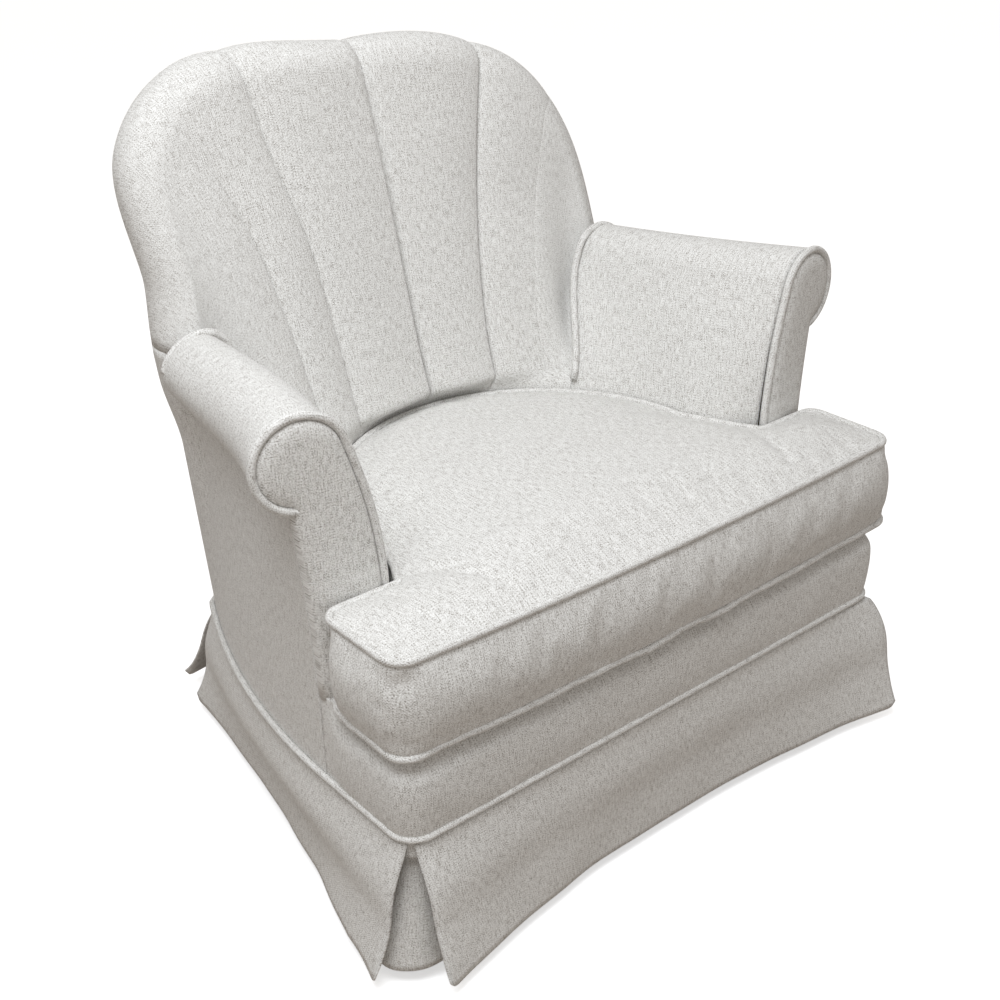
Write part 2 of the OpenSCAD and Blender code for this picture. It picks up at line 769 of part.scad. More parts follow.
// Face of the back between the seat and the crest; its sides fold forward to the arms
channels = 6;
crown_gap_h = 3;
face_low = seat_line + crown_h + crown_gap_h;
base_half = 202;
base_curve_r = 586;
base_front_d = 24;
base_y = well_y + well_r - base_front_d;
base_share = 0.9;
side_curve = 1.6;
lean_curve = 0.85;
tuck_d = 6;
function base_x(u, half) = sign(u) * half * sin(90 * pow(abs(u), base_share));
function arm_end(z) = let (t = clamp((z - seat_line) / (crest_low - seat_line)))
    [mix(foot_x(1), on_roll(1, tangent_a, 0)[0], t), mix(foot_y(1), pad_y + roll_l, ease(t))];
function hump(u) = let (f = (u + 1) / 2 * channels)
    abs(u) > 0.999 ? 1 : pow(max(0, sin(180 * (f - floor(f + 0.001)))), 0.5);
function groove(u) = groove_d * (1 - hump(u));
function plain_face(u, v) =
    let (
        top = rolled(u, -90, 0),
        x = base_x(u, base_half),
        y = base_y - base_curve_r + sqrt(base_curve_r * base_curve_r - x * x),
        folded = arm_end(mix(face_low, crest_low, v)),
        fold = pow(clamp(3 * abs(u) - 2), 2) * (1 - pow(v, 3)),
        side = mix(folded[0] + tuck_d, crest_x, pow(v, 4))
    )
    mix(
        [mix(x, top[0], pow(v, side_curve)), mix(y, top[1], pow(v, lean_curve)),
            mix(face_low, top[2], v)],
        [sign(u) * side, mix(folded[1] + 3 * gap, top[1], v), mix(face_low, crest_low, v)],
        fold
    );
foot_edge_x = sqrt(inner_r * inner_r - pow(foot_y(1) + 3 * gap - well_y, 2));
function back_foot(u, e, z) = let (x = base_x(u, foot_edge_x))
    [x, well_y + sqrt(inner_r * inner_r - x * x), z] + e / inner_r * [x, sqrt(inner_r * inner_r - x * x), 0];

back_foot_t = 16;
edge_pad_t = 14;
face_shares = [0, 0.12, 0.3, 0.5, 0.7, 0.88];
edge_angles = [-90, -55, -20, 15, 42, 60];
foot_levels = [foot_z, seat_line - tuck_d - welt_d, seat_line + tuck_d];
cols_per_channel = 6;
back_us = [for (k = [0 : channels * cols_per_channel]) 2 * k / (channels * cols_per_channel) - 1];
back_outer = concat(
    [for (z = foot_levels) [for (u = back_us) back_foot(u, 0, z)]],
    [for (v = face_shares) [for (u = back_us) plain_face(u, v) + [0, groove(u), 0]]],
    [for (a = edge_angles) [for (u = back_us) rolled(u, a, groove(u))]]
);
back_inner = concat(
    [for (z = foot_levels) [for (u = back_us) back_foot(u, back_foot_t, z)]],
    [for (v = face_shares) [for (u = back_us)
        plain_face(u, v) + [0, mix(channel_t, edge_pad_t, v), 0]]],
    [for (a = edge_angles) [for (u = back_us) rolled(u, a, edge_pad_t)]]
);
module inside_back() {
    color(fabric) shell(placed_grid(back_outer), placed_grid(back_inner));
}

// Piping in the corner between each arm and the back
junction_angles = [tangent_a, 138, 118, 98, 78, 58];
junction_rise = welt_r + 2 * gap;
junction_path = concat(
    [for (t = [0.1, 0.25, 0.4, 0.55, 0.7, 0.85]) let (p = slope_at(1, t, 0))
        [p[0] - junction_rise, p[1] - junction_rise, p[2]]],
    [for (a = junction_angles) on_roll(1, a, -junction_rise) - [0, junction_rise, 0]]
);
module back_welts() {
    path = [for (p = junction_path) placed(p)];
    color(fabric) for (side = [path, mirrored_path(path)])
        tube(side, welt_d, ring_sides, [0, 1, 0]);
}

// Outside of the arm, from its front to the rear corner
skin_z = frame_z;
wing_angles = [-50, -10, 30, 60];
arm_cols = 6;
panel_t = 8;
wing_cols = len(wing_angles);
welt_share = 0.09;
low_bend = 3;
panel_shares = [0, welt_share, 0.3, 0.52, 0.75, 0.92, 1];
function above_welt(h) = clamp((h - welt_share) / (1 - welt_share));
function panel_top(k) = k <= arm_cols
    ? let (s = k / arm_cols, p = slanted(on_roll(s, last_a, 0), s))
        [p[0], p[1] + 2 * gap * (1 - s), p[2] - 2 * gap]
    : rolled(1, wing_angles[k - arm_cols - 1], 0) - [0, 0, 2 * gap];
panel_end = body_d - 2 * gap;
function panel_foot_y(k) = k <= arm_cols ? mix(side_front + 2 * gap, pad_y + roll_l, k / arm_cols)
    : mix(pad_y + roll_l, panel_end, (k - arm_cols) / wing_cols);
function panel_point(k, h) =
    let (top = panel_top(k), y = panel_foot_y(k), bend = mix(low_bend, 1, k / (arm_cols + wing_cols)))
    [mix(side_x(y), top[0], pow(above_welt(h), bend)), mix(y, top[1], above_welt(h)),
        mix(skin_z, top[2], h)];
function panel_inner(k, h) = panel_point(k, h)
    - panel_t * [1, max(0, k - arm_cols - wing_cols + 2) / 2, 0];
panel_outer_grid = [for (h = panel_shares) [for (k = [0 : arm_cols + wing_cols]) panel_point(k, h)]];
panel_inner_grid = [for (h = panel_shares) [for (k = [0 : arm_cols + wing_cols]) panel_inner(k, h)]];

module right_outside_arm() {
    color(fabric) shell(placed_grid(panel_outer_grid), placed_grid(panel_inner_grid));
}

module left_outside_arm() {
    color(fabric)
        shell(mirrored(placed_grid(panel_outer_grid)), mirrored(placed_grid(panel_inner_grid)));
}

// Outside of the back, from the crest's rear seam to the skirt
rear_seam_a = 70;
rear_pad_t = 8;
rear_us = [for (k = [-6 : 6]) k / 6];
function rear_point(u, h) =
    let (top = rolled(u, rear_seam_a, 0), x = rear_x * u, lean = above_welt(h))
    [mix(x, top[0], lean), mix(rear_y(x), top[1], lean), mix(skin_z, top[2], h)];
rear_outer = [for (h = panel_shares) [for (u = rear_us) rear_point(u, h)]];
rear_inner = [for (h = panel_shares) [for (u = rear_us)
    rear_point(u, h) - [rear_pad_t * u, rear_pad_t, 0]]];
module outside_back() {
    color(fabric) shell(placed_grid(rear_outer), placed_grid(rear_inner));
}

// Posts that carry the arms and the back
post_w = 24;
post_in_w = 2;
post_d = 40;
arm_bar_d = 40;
arm_bar_half = arm_bar_d / 2 * cos(45);
post_near = pad_y + (body_half - arm_half) * face_tan + gap;
post_far_d = 151;
post_far = body_d - post_far_d;
// Outer face of a post, inside both the body's side and the skin under the roll
function post_out(y) = let (s = (y - pad_y) / roll_l)
    min(side_x(y), on_roll(s, last_a, 0)[0]) - rail_inset - post_in_w;
module arm_post(y, d) {
    top = roll_at((y + d - pad_y) / roll_l)[2] - arm_bar_half - 3 * gap;
    translate([post_out(y + d) - post_w, y - reach, rail_top]) cube([post_w, d, top - rail_top]);
}

module arm_posts() {
    color(wood) for (m = [0, 1]) mirror([m, 0, 0]) {
        arm_post(post_near, post_d);
        arm_post(post_far, post_w);
    }
}

arm_rail_path = [for (s = [0.06, 0.25, 0.45, 0.65, 0.85, 0.97]) placed(roll_at(s))];
module arm_rails() {
    color(wood) for (side = [arm_rail_path, mirrored_path(arm_rail_path)])
        tube(side, arm_bar_d, 4, [0, 0, 1]);
}

// Posts and rails of the back, a square bar that follows the crest
back_bar_d = 25;
back_bar_half = back_bar_d / 2 * cos(45);
back_post_d = 49;
back_post_y = body_d - back_post_d;
back_post_x = side_x(back_post_y + back_bar_half) - rail_inset - back_bar_half - 4 * gap;
post_us = [0.98, 0.9, 0.82, 0.77, 0.74];
back_post_path = concat(
    [placed([back_post_x, back_post_y, rail_top + gap])],
    [placed([back_post_x, back_post_y, rail_top + back_bar_d])],
    [for (u = post_us) placed(crest(u))]
);
module back_posts() {
    color(wood) for (side = [back_post_path, mirrored_path(back_post_path)])
        tube(side, back_bar_d, 4, [0, 1, 0]);
}

top_rail_us = [0, 0.1, 0.2, 0.3, 0.4, 0.5, 0.6, 0.7, 0.737];
module back_top_rail() {
    path = [for (k = [-8 : 8]) placed(crest(sign(k) * top_rail_us[abs(k)]))];
    color(wood) tube(path, back_bar_d, 4, [0, 1, 0]);
}

bottom_rail_z = 300;
bottom_rail_h = 40;
bottom_rail_y = well_y + inner_r + back_foot_t + gap;
bottom_rail_half = back_post_x - back_bar_half - gap;
module back_bottom_rail() {
    color(wood) translate([-bottom_rail_half, bottom_rail_y - reach, bottom_rail_z])
        cube([2 * bottom_rail_half, back_bar_d, bottom_rail_h]);
}

// Flat wave springs of the seat and of the back
wave_w = 20;
wave_count = 12;
wave_parts = 4;
function wave(a, b, side, count) = [for (i = [0 : count * wave_parts])
    mix(a, b, i / (count * wave_parts)) + wave_w * sin(180 * i / wave_parts) * side];
wave_near = front_rail_back - rail_t / 2;
wave_far = body_d - rail_inset - rail_t / 2;
wave_pitch = 116;
module seat_springs() {
    color("#77797c") for (k = [0 : seat_spring_count - 1]) {
        x = (k - (seat_spring_count - 1) / 2) * wave_pitch;
        tube(wave(placed([x, wave_near, wave_z]), placed([x, wave_far, wave_z]), [1, 0, 0], wave_count),
            wave_wire_d, ring_sides, [0, 0, 1]);
    }
}

wave_foot_x = 105;
wave_foot_z = bottom_rail_z + bottom_rail_h + gap + wave_wire_d / 2;
back_wave_count = 10;
back_spring_share = 0.285;
module back_springs() {
    color("#77797c") for (m = [-1, 0, 1]) {
        top = crest(back_spring_share * m) - [0, 0, back_bar_half + 2 * gap + wave_wire_d];
        foot = [m * wave_foot_x, bottom_rail_y + back_bar_half, wave_foot_z];
        tube(wave(placed(foot), placed(top), [1, 0, 0], back_wave_count),
            wave_wire_d, ring_sides, [0, 1, 0]);
    }
}

// Padded deck under the cushion
deck_in = pad_t + gap;
deck_clear = 1.2;
deck_near = arm_y + face_t - 2 * gap;
well_shares = [0.04, 0.09, 0.14, 0.2, 0.3, 0.45, 0.6, 0.75, 0.88, 0.96];
deck_rear = well_y + inner_r - deck_clear;
deck_side = concat(
    [[corner_x, front_y + deck_in]],
    [for (a = [-60, -30, 0]) [corner_x + (corner_r - deck_in) * cos(a),
        corner_y + (corner_r - deck_in) * sin(a)]],
    [[body_half - deck_in, deck_near], [well_x(pad_y) - deck_clear, deck_near]],
    [for (t = well_shares) let (y = mix(pad_y, deck_rear, t)) [well_x(y) - deck_clear, y]]
);
module seat_deck() {
    outline = concat(deck_side, [[0, deck_rear]],
        [for (k = [len(deck_side) - 1 : -1 : 0]) [-deck_side[k][0], deck_side[k][1]]]);
    color("#b9b4aa") translate([0, -reach, deck_z]) linear_extrude(deck_t) polygon(outline);
}

// Padded border below the cushion, with a short return along each side
border_half = concat(
    [for (t = [0, 0.2, 0.4, 0.6, 0.8]) [mix(0, corner_x, t), front_y]],
    [for (a = [-90, -60, -30, 0]) [corner_x + corner_r * cos(a), corner_y + corner_r * sin(a)]],
    [for (t = [0.33, 0.66, 1]) [body_half, mix(corner_y, side_front, t)]]
);
border_line = concat(
    [for (k = [len(border_half) - 1 : -1 : 1]) [-border_half[k][0], border_half[k][1]]],
    border_half
);
border_shares = [0, 0.2, 0.4, 0.62, 0.84, 1];
border_puff_d = 6;
puff_from = 0.23;
function border_row(e, h) = [for (p = beside(border_line, e, false))
    [p[0], p[1], mix(skin_z, deck_top, h)]];
module front_border() {
    outer = [for (h = border_shares) let (puff = clamp((h - puff_from) / (1 - puff_from)))
        border_row(border_puff_d * sin(180 * puff), h)];
    inner = [for (h = border_shares) border_row(-pad_t, h)];
    color(fabric) shell(placed_grid(outer), placed_grid(inner));
}

// Skirt: four panels with a pleat opening and an underlay at each corner
skirt_top = skirt_z - welt_r + 2 * gap;
skirt_off = skirt_t + gap;
skirt_shares = [0, 0.25, 0.5, 0.75, 1];
hang_curve = 1.2;
skirt_cols = 12;
hem_out_w = 8;
hem_in_w = 5;
hem_curve = 2.2;
hem_front_half = body_half + hem_out_w;
hem_rear_half = rear_x - hem_in_w;
hem_bulge_d = 9;
function skirt_grid(tops, hems) = [for (t = skirt_shares) [for (k = [0 : skirt_cols])
    [mix(tops[k][0], hems[k][0], pow(t, hang_curve)), mix(tops[k][1], hems[k][1], pow(t, hang_curve)),
        mix(skirt_top, hem_z, t)]]];
function skirt_inner(grid) = [for (row = grid) let (line = beside(row2(row), -skirt_t, false))
    [for (k = [0 : skirt_cols]) [line[k][0], line[k][1], row[k][2]]]];
function row2(row) = [for (p = row) [p[0], p[1]]];
module skirt(tops, hems) {
    grid = skirt_grid(tops, hems);
    color(fabric) shell(placed_grid(grid), placed_grid(skirt_inner(grid)));
}

front_us = [for (k = [0 : skirt_cols]) 2 * k / skirt_cols - 1];
module front_skirt() {
    skirt([for (u = front_us) [u * corner_x, front_y - skirt_off]],
        [for (u = front_us) let (out = mix(hem_bulge_d, flare_front_d, pow(abs(u), hem_curve)))
            [u * hem_front_half, front_y - out]]);
}

side_us = [for (k = [0 : skirt_cols]) k / skirt_cols];
side_near_d = 10;
side_far_d = 41;
side_end_d = 2;
rear_side_flare_w = 24;
function side_top(v) = let (y = mix(corner_y, body_d - side_end_d, v)) [side_x(y) + skirt_off, y];
function side_hem(v) = let (y = mix(corner_y, body_d - side_end_d, v))
    [side_x(y) + skirt_off + flare_side_d * pow(1 - v, 3) + rear_side_flare_w * pow(v, 3),
        mix(front_y + side_near_d, body_d + side_far_d, v)];
side_grid = skirt_grid([for (v = side_us) side_top(v)], [for (v = side_us) side_hem(v)]);
module right_skirt() {
    color(fabric) shell(placed_grid(side_grid), placed_grid(skirt_inner(side_grid)));
}

module left_skirt() {
    color(fabric)
        shell(mirrored(placed_grid(side_grid)), mirrored(placed_grid(skirt_inner(side_grid))));
}

module rear_skirt() {
    skirt([for (u = front_us) let (x = -u * (rear_x - skirt_off)) [x, rear_y(x) + skirt_off]],
        [for (u = front_us) let (x = -u * hem_rear_half) [x, rear_y(x) + skirt_off + flare_rear_d]]);
}

// Underlays behind the pleats, hung under the rails at the corners
underlay_z = bracket_top - gap;
underlay_lift_h = 3;
underlay_hem = hem_z + underlay_lift_h;
// Places from the body's front corner and from its rear corner, in shares of the corner's radius
front_under_top = [[-1.65, 0.31], [-0.96, 0.35], [-0.54, 0.62], [-0.35, 1.08], [-0.35, 2]];
front_under_hem = [[-1.5, -0.5], [-0.27, -0.42], [0.58, 0.08], [1, 0.77], [1.04, 1.92]];
rear_under_top = [[-0.35, -1.04], [-0.46, -0.65], [-0.65, -0.38], [-1.04, -0.23], [-1.73, -0.15]];
rear_under_hem = [[0.42, -0.27], [0.5, 0.96], [0.19, 1.73], [-0.5, 2.19], [-1.58, 2.35]];
function from_corner(x, y, shares) = [for (s = shares) [x + s[0] * corner_r, y + s[1] * corner_r]];
module underlay(x, y, top_shares, hem_shares) {
    tops = from_corner(x, y, top_shares);
    hems = from_corner(x, y, hem_shares);
    outer = [for (t = skirt_shares) [for (k = [0 : 4])
        [mix(tops[k][0], hems[k][0], t), mix(tops[k][1], hems[k][1], t),
            mix(underlay_z, underlay_hem, t)]]];
    inner = [for (row = outer) let (line = beside(row2(row), -skirt_t, false))
        [for (k = [0 : 4]) [line[k][0], line[k][1], row[k][2]]]];
    for (m = [0, 1]) mirror([m, 0, 0]) shell(placed_grid(outer), placed_grid(inner));
}

module pleat_underlays() {
    color(fabric) {
        underlay(body_half, front_y, front_under_top, front_under_hem);
        underlay(rear_x, body_d, rear_under_top, rear_under_hem);
    }
}

// Piping over the top of the skirt, all around the body
welt_half = concat(
    border_half,
    [for (t = [0.12, 0.25, 0.38, 0.5, 0.62, 0.74, 0.86, 1])
        let (y = mix(side_front, body_d, t)) [side_x(y), y]],
    [for (t = [0.85, 0.5, 0.2]) [rear_x * t, rear_y(rear_x * t)]]
);
welt_line = concat(welt_half, [[0, rear_y(0)]],
    [for (k = [len(welt_half) - 1 : -1 : 1]) [-welt_half[k][0], welt_half[k][1]]]);
module skirt_welt() {
    path = [for (p = beside(welt_line, welt_r + 3 * gap, true)) placed([p[0], p[1], skirt_z])];
    color(fabric) tube(path, welt_d, ring_sides, [0, 0, 1], closed = true);
}

// Loose cushion: outline of its welts, then the rings of its body
ear_front_r = 24;
ear_rear_r = 18;
notch_r = 9;
cushion_half = cushion_w / 2;
crown_share = 0.72;
crown_y = ear_d * crown_share;
bow_shares = [0, 0.3, 0.6, 0.85];
cushion_side = concat(
    [for (t = bow_shares) let (x = t * (cushion_half - ear_front_r)) [x, -front_bow_d * (1 - t * t)]],
    [for (a = [-75, -45, -15]) [cushion_half - ear_front_r * (1 - cos(a)), ear_front_r * (1 + sin(a))]],
    [[cushion_half, ear_d / 2]],
    [for (a = [15, 45, 75])
        [cushion_half - ear_rear_r * (1 - cos(a)), ear_d - ear_rear_r * (1 - sin(a))]],
    [[neck_half + notch_r, ear_d], [neck_half, ear_d + notch_r]],
    [for (t = [0.35, 0.7]) [mix(neck_half, well_r, t), mix(ear_d, well_y, t)]],
    [for (a = [0, 15, 30, 45, 60, 75]) [well_r * cos(a), well_y + well_r * sin(a)]]
);
cushion_line = concat(cushion_side, [[0, well_y + well_r]],
    [for (k = [len(cushion_side) - 1 : -1 : 1]) [-cushion_side[k][0], cushion_side[k][1]]]);
function cushion_ring(inset, z) = [for (p = beside(cushion_line, -inset, true)) [p[0], p[1] - reach, z]];
function crown_ring(q) = [for (p = beside(cushion_line, -welt_r - gap, true))
    [p[0] * q, mix(crown_y, p[1], q) - reach, seat_line + crown_h * (1 - pow(q, 2.5))]];
module seat_cushion() {
    low = cushion_z - welt_r;
    color(fabric) ringed(
        [cushion_ring(3 * welt_d, low), cushion_ring(welt_r + gap, cushion_z),
            cushion_ring(welt_r + pinch_d, mix(cushion_z, seat_line, 0.35)),
            cushion_ring(welt_r + pinch_d, mix(cushion_z, seat_line, 0.65)),
            cushion_ring(welt_r + gap, seat_line),
            crown_ring(0.9), crown_ring(0.72), crown_ring(0.5), crown_ring(0.25)],
        [0, crown_y - reach, low], [0, crown_y - reach, seat_line + crown_h]
    );
}

module cushion_welts() {
    color(fabric) for (z = [cushion_z, seat_line])
        tube([for (p = cushion_line) [p[0], p[1] - reach, z]], welt_d, ring_sides, [0, 0, 1],
            closed = true);
}

base_ring();
base_cross();
floor_glides();
king_pin();
lower_race();
bearing_balls();
ball_cage();
king_washer();
king_nut();
swivel_plate();
pivot_bushing();
rocker_yoke();
rock_shaft();
shaft_clips();
lower_spring_seats();
bump_stops();
front_rocker_springs();
rear_rocker_springs();
rocker_bracket();
shaft_bushings();
upper_spring_seats();
bracket_bolts();
dust_cover();
bracket_rails();
front_rail();
left_side_rail();
right_side_rail();
rear_rail();
arm_posts();
arm_rails();
back_posts();
back_top_rail();
back_bottom_rail();
seat_springs();
back_springs();
seat_deck();
front_border();
left_arm_pad();
right_arm_pad();
left_arm_front();
right_arm_front();
left_outside_arm();
right_outside_arm();
inside_back();
outside_back();
arm_welts();
back_welts();
skirt_welt();
front_skirt();
left_skirt();
right_skirt();
rear_skirt();
pleat_underlays();
seat_cushion();
cushion_welts();
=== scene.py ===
# Upholstered swivel rocking chair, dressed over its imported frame.
# Sizes in the dictionaries are millimetres. Depths are measured back from the cushion's front corners.
import math

import bmesh
import bpy
from mathutils import Matrix, Vector, noise
from mathutils.bvhtree import BVHTree
from mathutils.kdtree import KDTree


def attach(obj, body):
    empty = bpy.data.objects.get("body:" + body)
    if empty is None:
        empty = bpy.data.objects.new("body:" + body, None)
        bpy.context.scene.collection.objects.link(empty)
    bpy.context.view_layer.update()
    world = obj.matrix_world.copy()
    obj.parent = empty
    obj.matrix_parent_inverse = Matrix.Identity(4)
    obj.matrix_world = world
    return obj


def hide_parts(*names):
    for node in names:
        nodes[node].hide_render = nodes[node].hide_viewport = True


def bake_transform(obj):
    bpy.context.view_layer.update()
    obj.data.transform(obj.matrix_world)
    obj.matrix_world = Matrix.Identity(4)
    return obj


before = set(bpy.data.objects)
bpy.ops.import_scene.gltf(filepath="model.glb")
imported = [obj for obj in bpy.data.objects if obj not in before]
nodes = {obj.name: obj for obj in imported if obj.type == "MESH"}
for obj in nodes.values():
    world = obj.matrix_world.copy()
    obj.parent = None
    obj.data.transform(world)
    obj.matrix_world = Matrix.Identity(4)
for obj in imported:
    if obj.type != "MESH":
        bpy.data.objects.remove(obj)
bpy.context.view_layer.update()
print("frame loaded:", len(nodes), "nodes")

general = {"reach": 308, "gap": 0.3, "weltDiameter": 9}


# small helpers

def mix(a, b, t):
    return a + (b - a) * t


def clamp(t):
    return min(1.0, max(0.0, t))


def ease(t):
    t = clamp(t)
    return t * t * (3 - 2 * t)


def arcPoints(x, y, radius, start, end, steps, last=True):
    # points on an arc from start to end, in degrees
    angles = [math.radians(mix(start, end, k / steps)) for k in range(steps + (1 if last else 0))]
    return [(x + radius * math.cos(a), y + radius * math.sin(a)) for a in angles]


def spot(x, depth, z):
    # a point of the chair, from millimetres to the frame's metres
    return Vector((x, depth - general["reach"], z)) / 1000


def placeOf(co):
    # the way back: x, depth and height in millimetres
    return co.x * 1000, co.y * 1000 + general["reach"], co.z * 1000


def hexColour(text):
    # sRGB hex to the linear values that a shader socket takes
    parts = [int(text[i:i + 2], 16) / 255 for i in (1, 3, 5)]
    return [p / 12.92 if p <= 0.04045 else ((p + 0.055) / 1.055) ** 2.4 for p in parts] + [1.0]


def dimmed(text, share):
    return [c * share for c in hexColour(text)[:3]] + [1.0]


def addNode(tree, kind, settings=None, **inputs):
    # one node with its settings; an input is a value or another node's output
    node = tree.nodes.new(kind)
    for key, value in (settings or {}).items():
        setattr(node, key, value)
    for key, value in inputs.items():
        socket = node.inputs[int(key[1:]) if key[0] == "i" and key[1:].isdigit() else key.replace("_", " ")]
        if isinstance(value, bpy.types.NodeSocket):
            tree.links.new(value, socket)
        else:
            socket.default_value = value
    return node


def paintAndRaise(tree, shader, value, stops, strength, distance, height):
    # colours a material along a value and lets a height catch the light
    ramp = addNode(tree, "ShaderNodeValToRGB", {}, Fac=value)
    for k, (place, colour) in enumerate(stops):
        stop = ramp.color_ramp.elements[k] if k < 2 else ramp.color_ramp.elements.new(place)
        stop.position, stop.color = place, colour
    tree.links.new(ramp.outputs[0], shader.inputs["Base Color"])
    relief = addNode(tree, "ShaderNodeBump", {}, Strength=strength, Distance=distance, Height=height)
    tree.links.new(relief.outputs[0], shader.inputs["Normal"])


def newMaterial(name):
    material = bpy.data.materials.new(name)
    material.use_nodes = True
    tree = material.node_tree
    shader = tree.nodes["Principled BSDF"]
    return material, tree, shader


def shadeSmooth(obj):
    for face in obj.data.polygons:
        face.use_smooth = True


def finishPiece(obj, nodeName, body="rocker", smooth=True):
    # a finished piece rides on its body and takes its node's place
    if smooth:
        shadeSmooth(obj)
    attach(obj, body)
    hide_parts(nodeName)


def objectFrom(bm, name, material):
    mesh = bpy.data.meshes.new(name)
    bm.to_mesh(mesh)
    bm.free()
    obj = bpy.data.objects.new(name, mesh)
    bpy.context.scene.collection.objects.link(obj)
    obj.data.materials.append(material)
    return obj


def clothPatch(name, across, along, place, outward, material):
    # a grid bent to a surface, with its UVs in metres along the cloth
    bm = bmesh.new()
    bmesh.ops.create_grid(bm, x_segments=across, y_segments=along, size=1)
    rows = {}
    for vert in bm.verts:
        i, j = round((vert.co.x + 1) / 2 * across), round((vert.co.y + 1) / 2 * along)
        rows[(i, j)] = vert
    for (i, j), vert in rows.items():
        vert.co = place(2 * i / across - 1, j / along)
    uv = bm.loops.layers.uv.new("Cloth")
    lengthU, lengthV = {}, {}
    middle = across // 2
    for j in range(along + 1):
        lengthU[(middle, j)] = 0.0
        for i in range(middle + 1, across + 1):
            lengthU[(i, j)] = lengthU[(i - 1, j)] + (rows[(i, j)].co - rows[(i - 1, j)].co).length
        for i in range(middle - 1, -1, -1):
            lengthU[(i, j)] = lengthU[(i + 1, j)] - (rows[(i, j)].co - rows[(i + 1, j)].co).length
    for i in range(across + 1):
        lengthV[(i, 0)] = 0.0
        for j in range(1, along + 1):
            lengthV[(i, j)] = lengthV[(i, j - 1)] + (rows[(i, j)].co - rows[(i, j - 1)].co).length
    spots = {vert: key for key, vert in rows.items()}
    for face in bm.faces:
        for loop in face.loops:
            key = spots[loop.vert]
            loop[uv].uv = (lengthU[key], lengthV[key])
    bm.normal_update()
    if sum(face.normal.dot(outward) * face.calc_area() for face in bm.faces) < 0:
        bmesh.ops.reverse_faces(bm, faces=bm.faces)
    return objectFrom(bm, name, material)


def thicken(obj, thickness):
    # inwards from the outer face
    solid = obj.modifiers.new("Solid", "SOLIDIFY")
    solid.thickness = thickness / 1000
    solid.offset = -1.0
    solid.use_even_offset = False


def applied(obj):
    # the modifiers' result becomes the piece's own mesh
    depsgraph = bpy.context.evaluated_depsgraph_get()
    mesh = bpy.data.meshes.new_from_object(obj.evaluated_get(depsgraph), depsgraph=depsgraph)
    obj.modifiers.clear()
    obj.data = mesh
    return obj


def mirroredCopy(obj, name):
    mesh = obj.data.copy()
    mesh.transform(Matrix.Scale(-1, 4, (1, 0, 0)))
    mesh.flip_normals()
    twin = bpy.data.objects.new(name, mesh)
    bpy.context.scene.collection.objects.link(twin)
    for modifier in obj.modifiers:
        copied = twin.modifiers.new(modifier.name, modifier.type)
        for prop in modifier.bl_rna.properties:
            if not prop.is_readonly and prop.identifier not in ("name", "type"):
                setattr(copied, prop.identifier, getattr(modifier, prop.identifier))
    return twin


def welt(name, points, material, closed=False, diameter=None, sides=12):
    # piping: a round cord of cloth along a path, with UVs in metres
    radius = (diameter or general["weltDiameter"]) / 2000
    bm = bmesh.new()
    uv = bm.loops.layers.uv.new("Cloth")
    count = len(points)
    rings, lengths, run = [], [], 0.0
    side = None
    for k, point in enumerate(points):
        before = points[(k - 1) % count] if closed else points[max(0, k - 1)]
        after = points[(k + 1) % count] if closed else points[min(count - 1, k + 1)]
        ahead = (after - before).normalized()
        side = ahead.orthogonal() if side is None else side
        side = (side - ahead * side.dot(ahead)).normalized()
        rise = ahead.cross(side)
        ring = []
        for s in range(sides):
            angle = 2 * math.pi * s / sides
            ring.append(bm.verts.new(point + radius * (math.cos(angle) * side + math.sin(angle) * rise)))
        rings.append(ring)
        lengths.append(run)
        if k + 1 < count or closed:
            run += (points[(k + 1) % count] - point).length
    lengths.append(run)
    spans = count if closed else count - 1
    best = 0
    if closed:
        # the last ring meets the first where their corners lie nearest
        first, last = rings[0], rings[-1]
        best = min(range(sides), key=lambda m: sum((last[s].co - first[(s + m) % sides].co).length
                                                   for s in range(sides)))
    for k in range(spans):
        ringA, ringB = rings[k], rings[(k + 1) % count]
        turn = best if closed and k == count - 1 else 0
        for s in range(sides):
            face = bm.faces.new((ringA[s], ringA[(s + 1) % sides], ringB[(s + 1 + turn) % sides],
                                 ringB[(s + turn) % sides]))
            around = 2 * math.pi * radius / sides
            for loop, place in zip(face.loops, ((s, k), (s + 1, k), (s + 1, k + 1), (s, k + 1))):
                loop[uv].uv = (place[0] * around, lengths[place[1]])
    if not closed:
        bm.faces.new(list(reversed(rings[0])))
        bm.faces.new(rings[-1])
    bmesh.ops.recalc_face_normals(bm, faces=bm.faces)
    return objectFrom(bm, name, material)


def smoothPath(points, steps=6, closed=False):
    # a Catmull-Rom curve through the points
    count, result = len(points), []
    spans = count if closed else count - 1
    for k in range(spans):
        p0 = points[(k - 1) % count] if closed or k > 0 else points[0]
        p1, p2 = points[k], points[(k + 1) % count]
        p3 = points[(k + 2) % count] if closed or k + 2 < count else points[-1]
        for s in range(steps):
            t = s / steps
            result.append(0.5 * ((2 * p1) + (p2 - p0) * t + (2 * p0 - 5 * p1 + 4 * p2 - p3) * t * t
                                 + (3 * p1 - p0 - 3 * p2 + p3) * t * t * t))
    if not closed:
        result.append(points[-1])
    return result


def ripple(point, size, height, seed=0.0):
    # smooth unevenness of stuffed cloth; size and height in millimetres
    return noise.noise(point * (1000 / size) + Vector((seed, seed * 1.7, seed * 0.3))) * height / 1000


# materials

# threads are about 1.1 mm in the real cloth, drawn at 1.6 mm so that the weave shows at this distance
weave = {"thread": 1.6, "light": "#f3f3f1", "mid": "#dcdbd8", "dark": "#a09b95", "low": 0.27, "high": 0.73,
         "bump": 0.5, "weft": 0.65, "cloud": 0.04, "fleck": 0.85, "wander": 0.0022, "fleckScale": 760.0,
         "cloudScale": 14.0, "slubs": ((1.0, 0.14, 0.0), (0.2, 1.0, 40.0))}


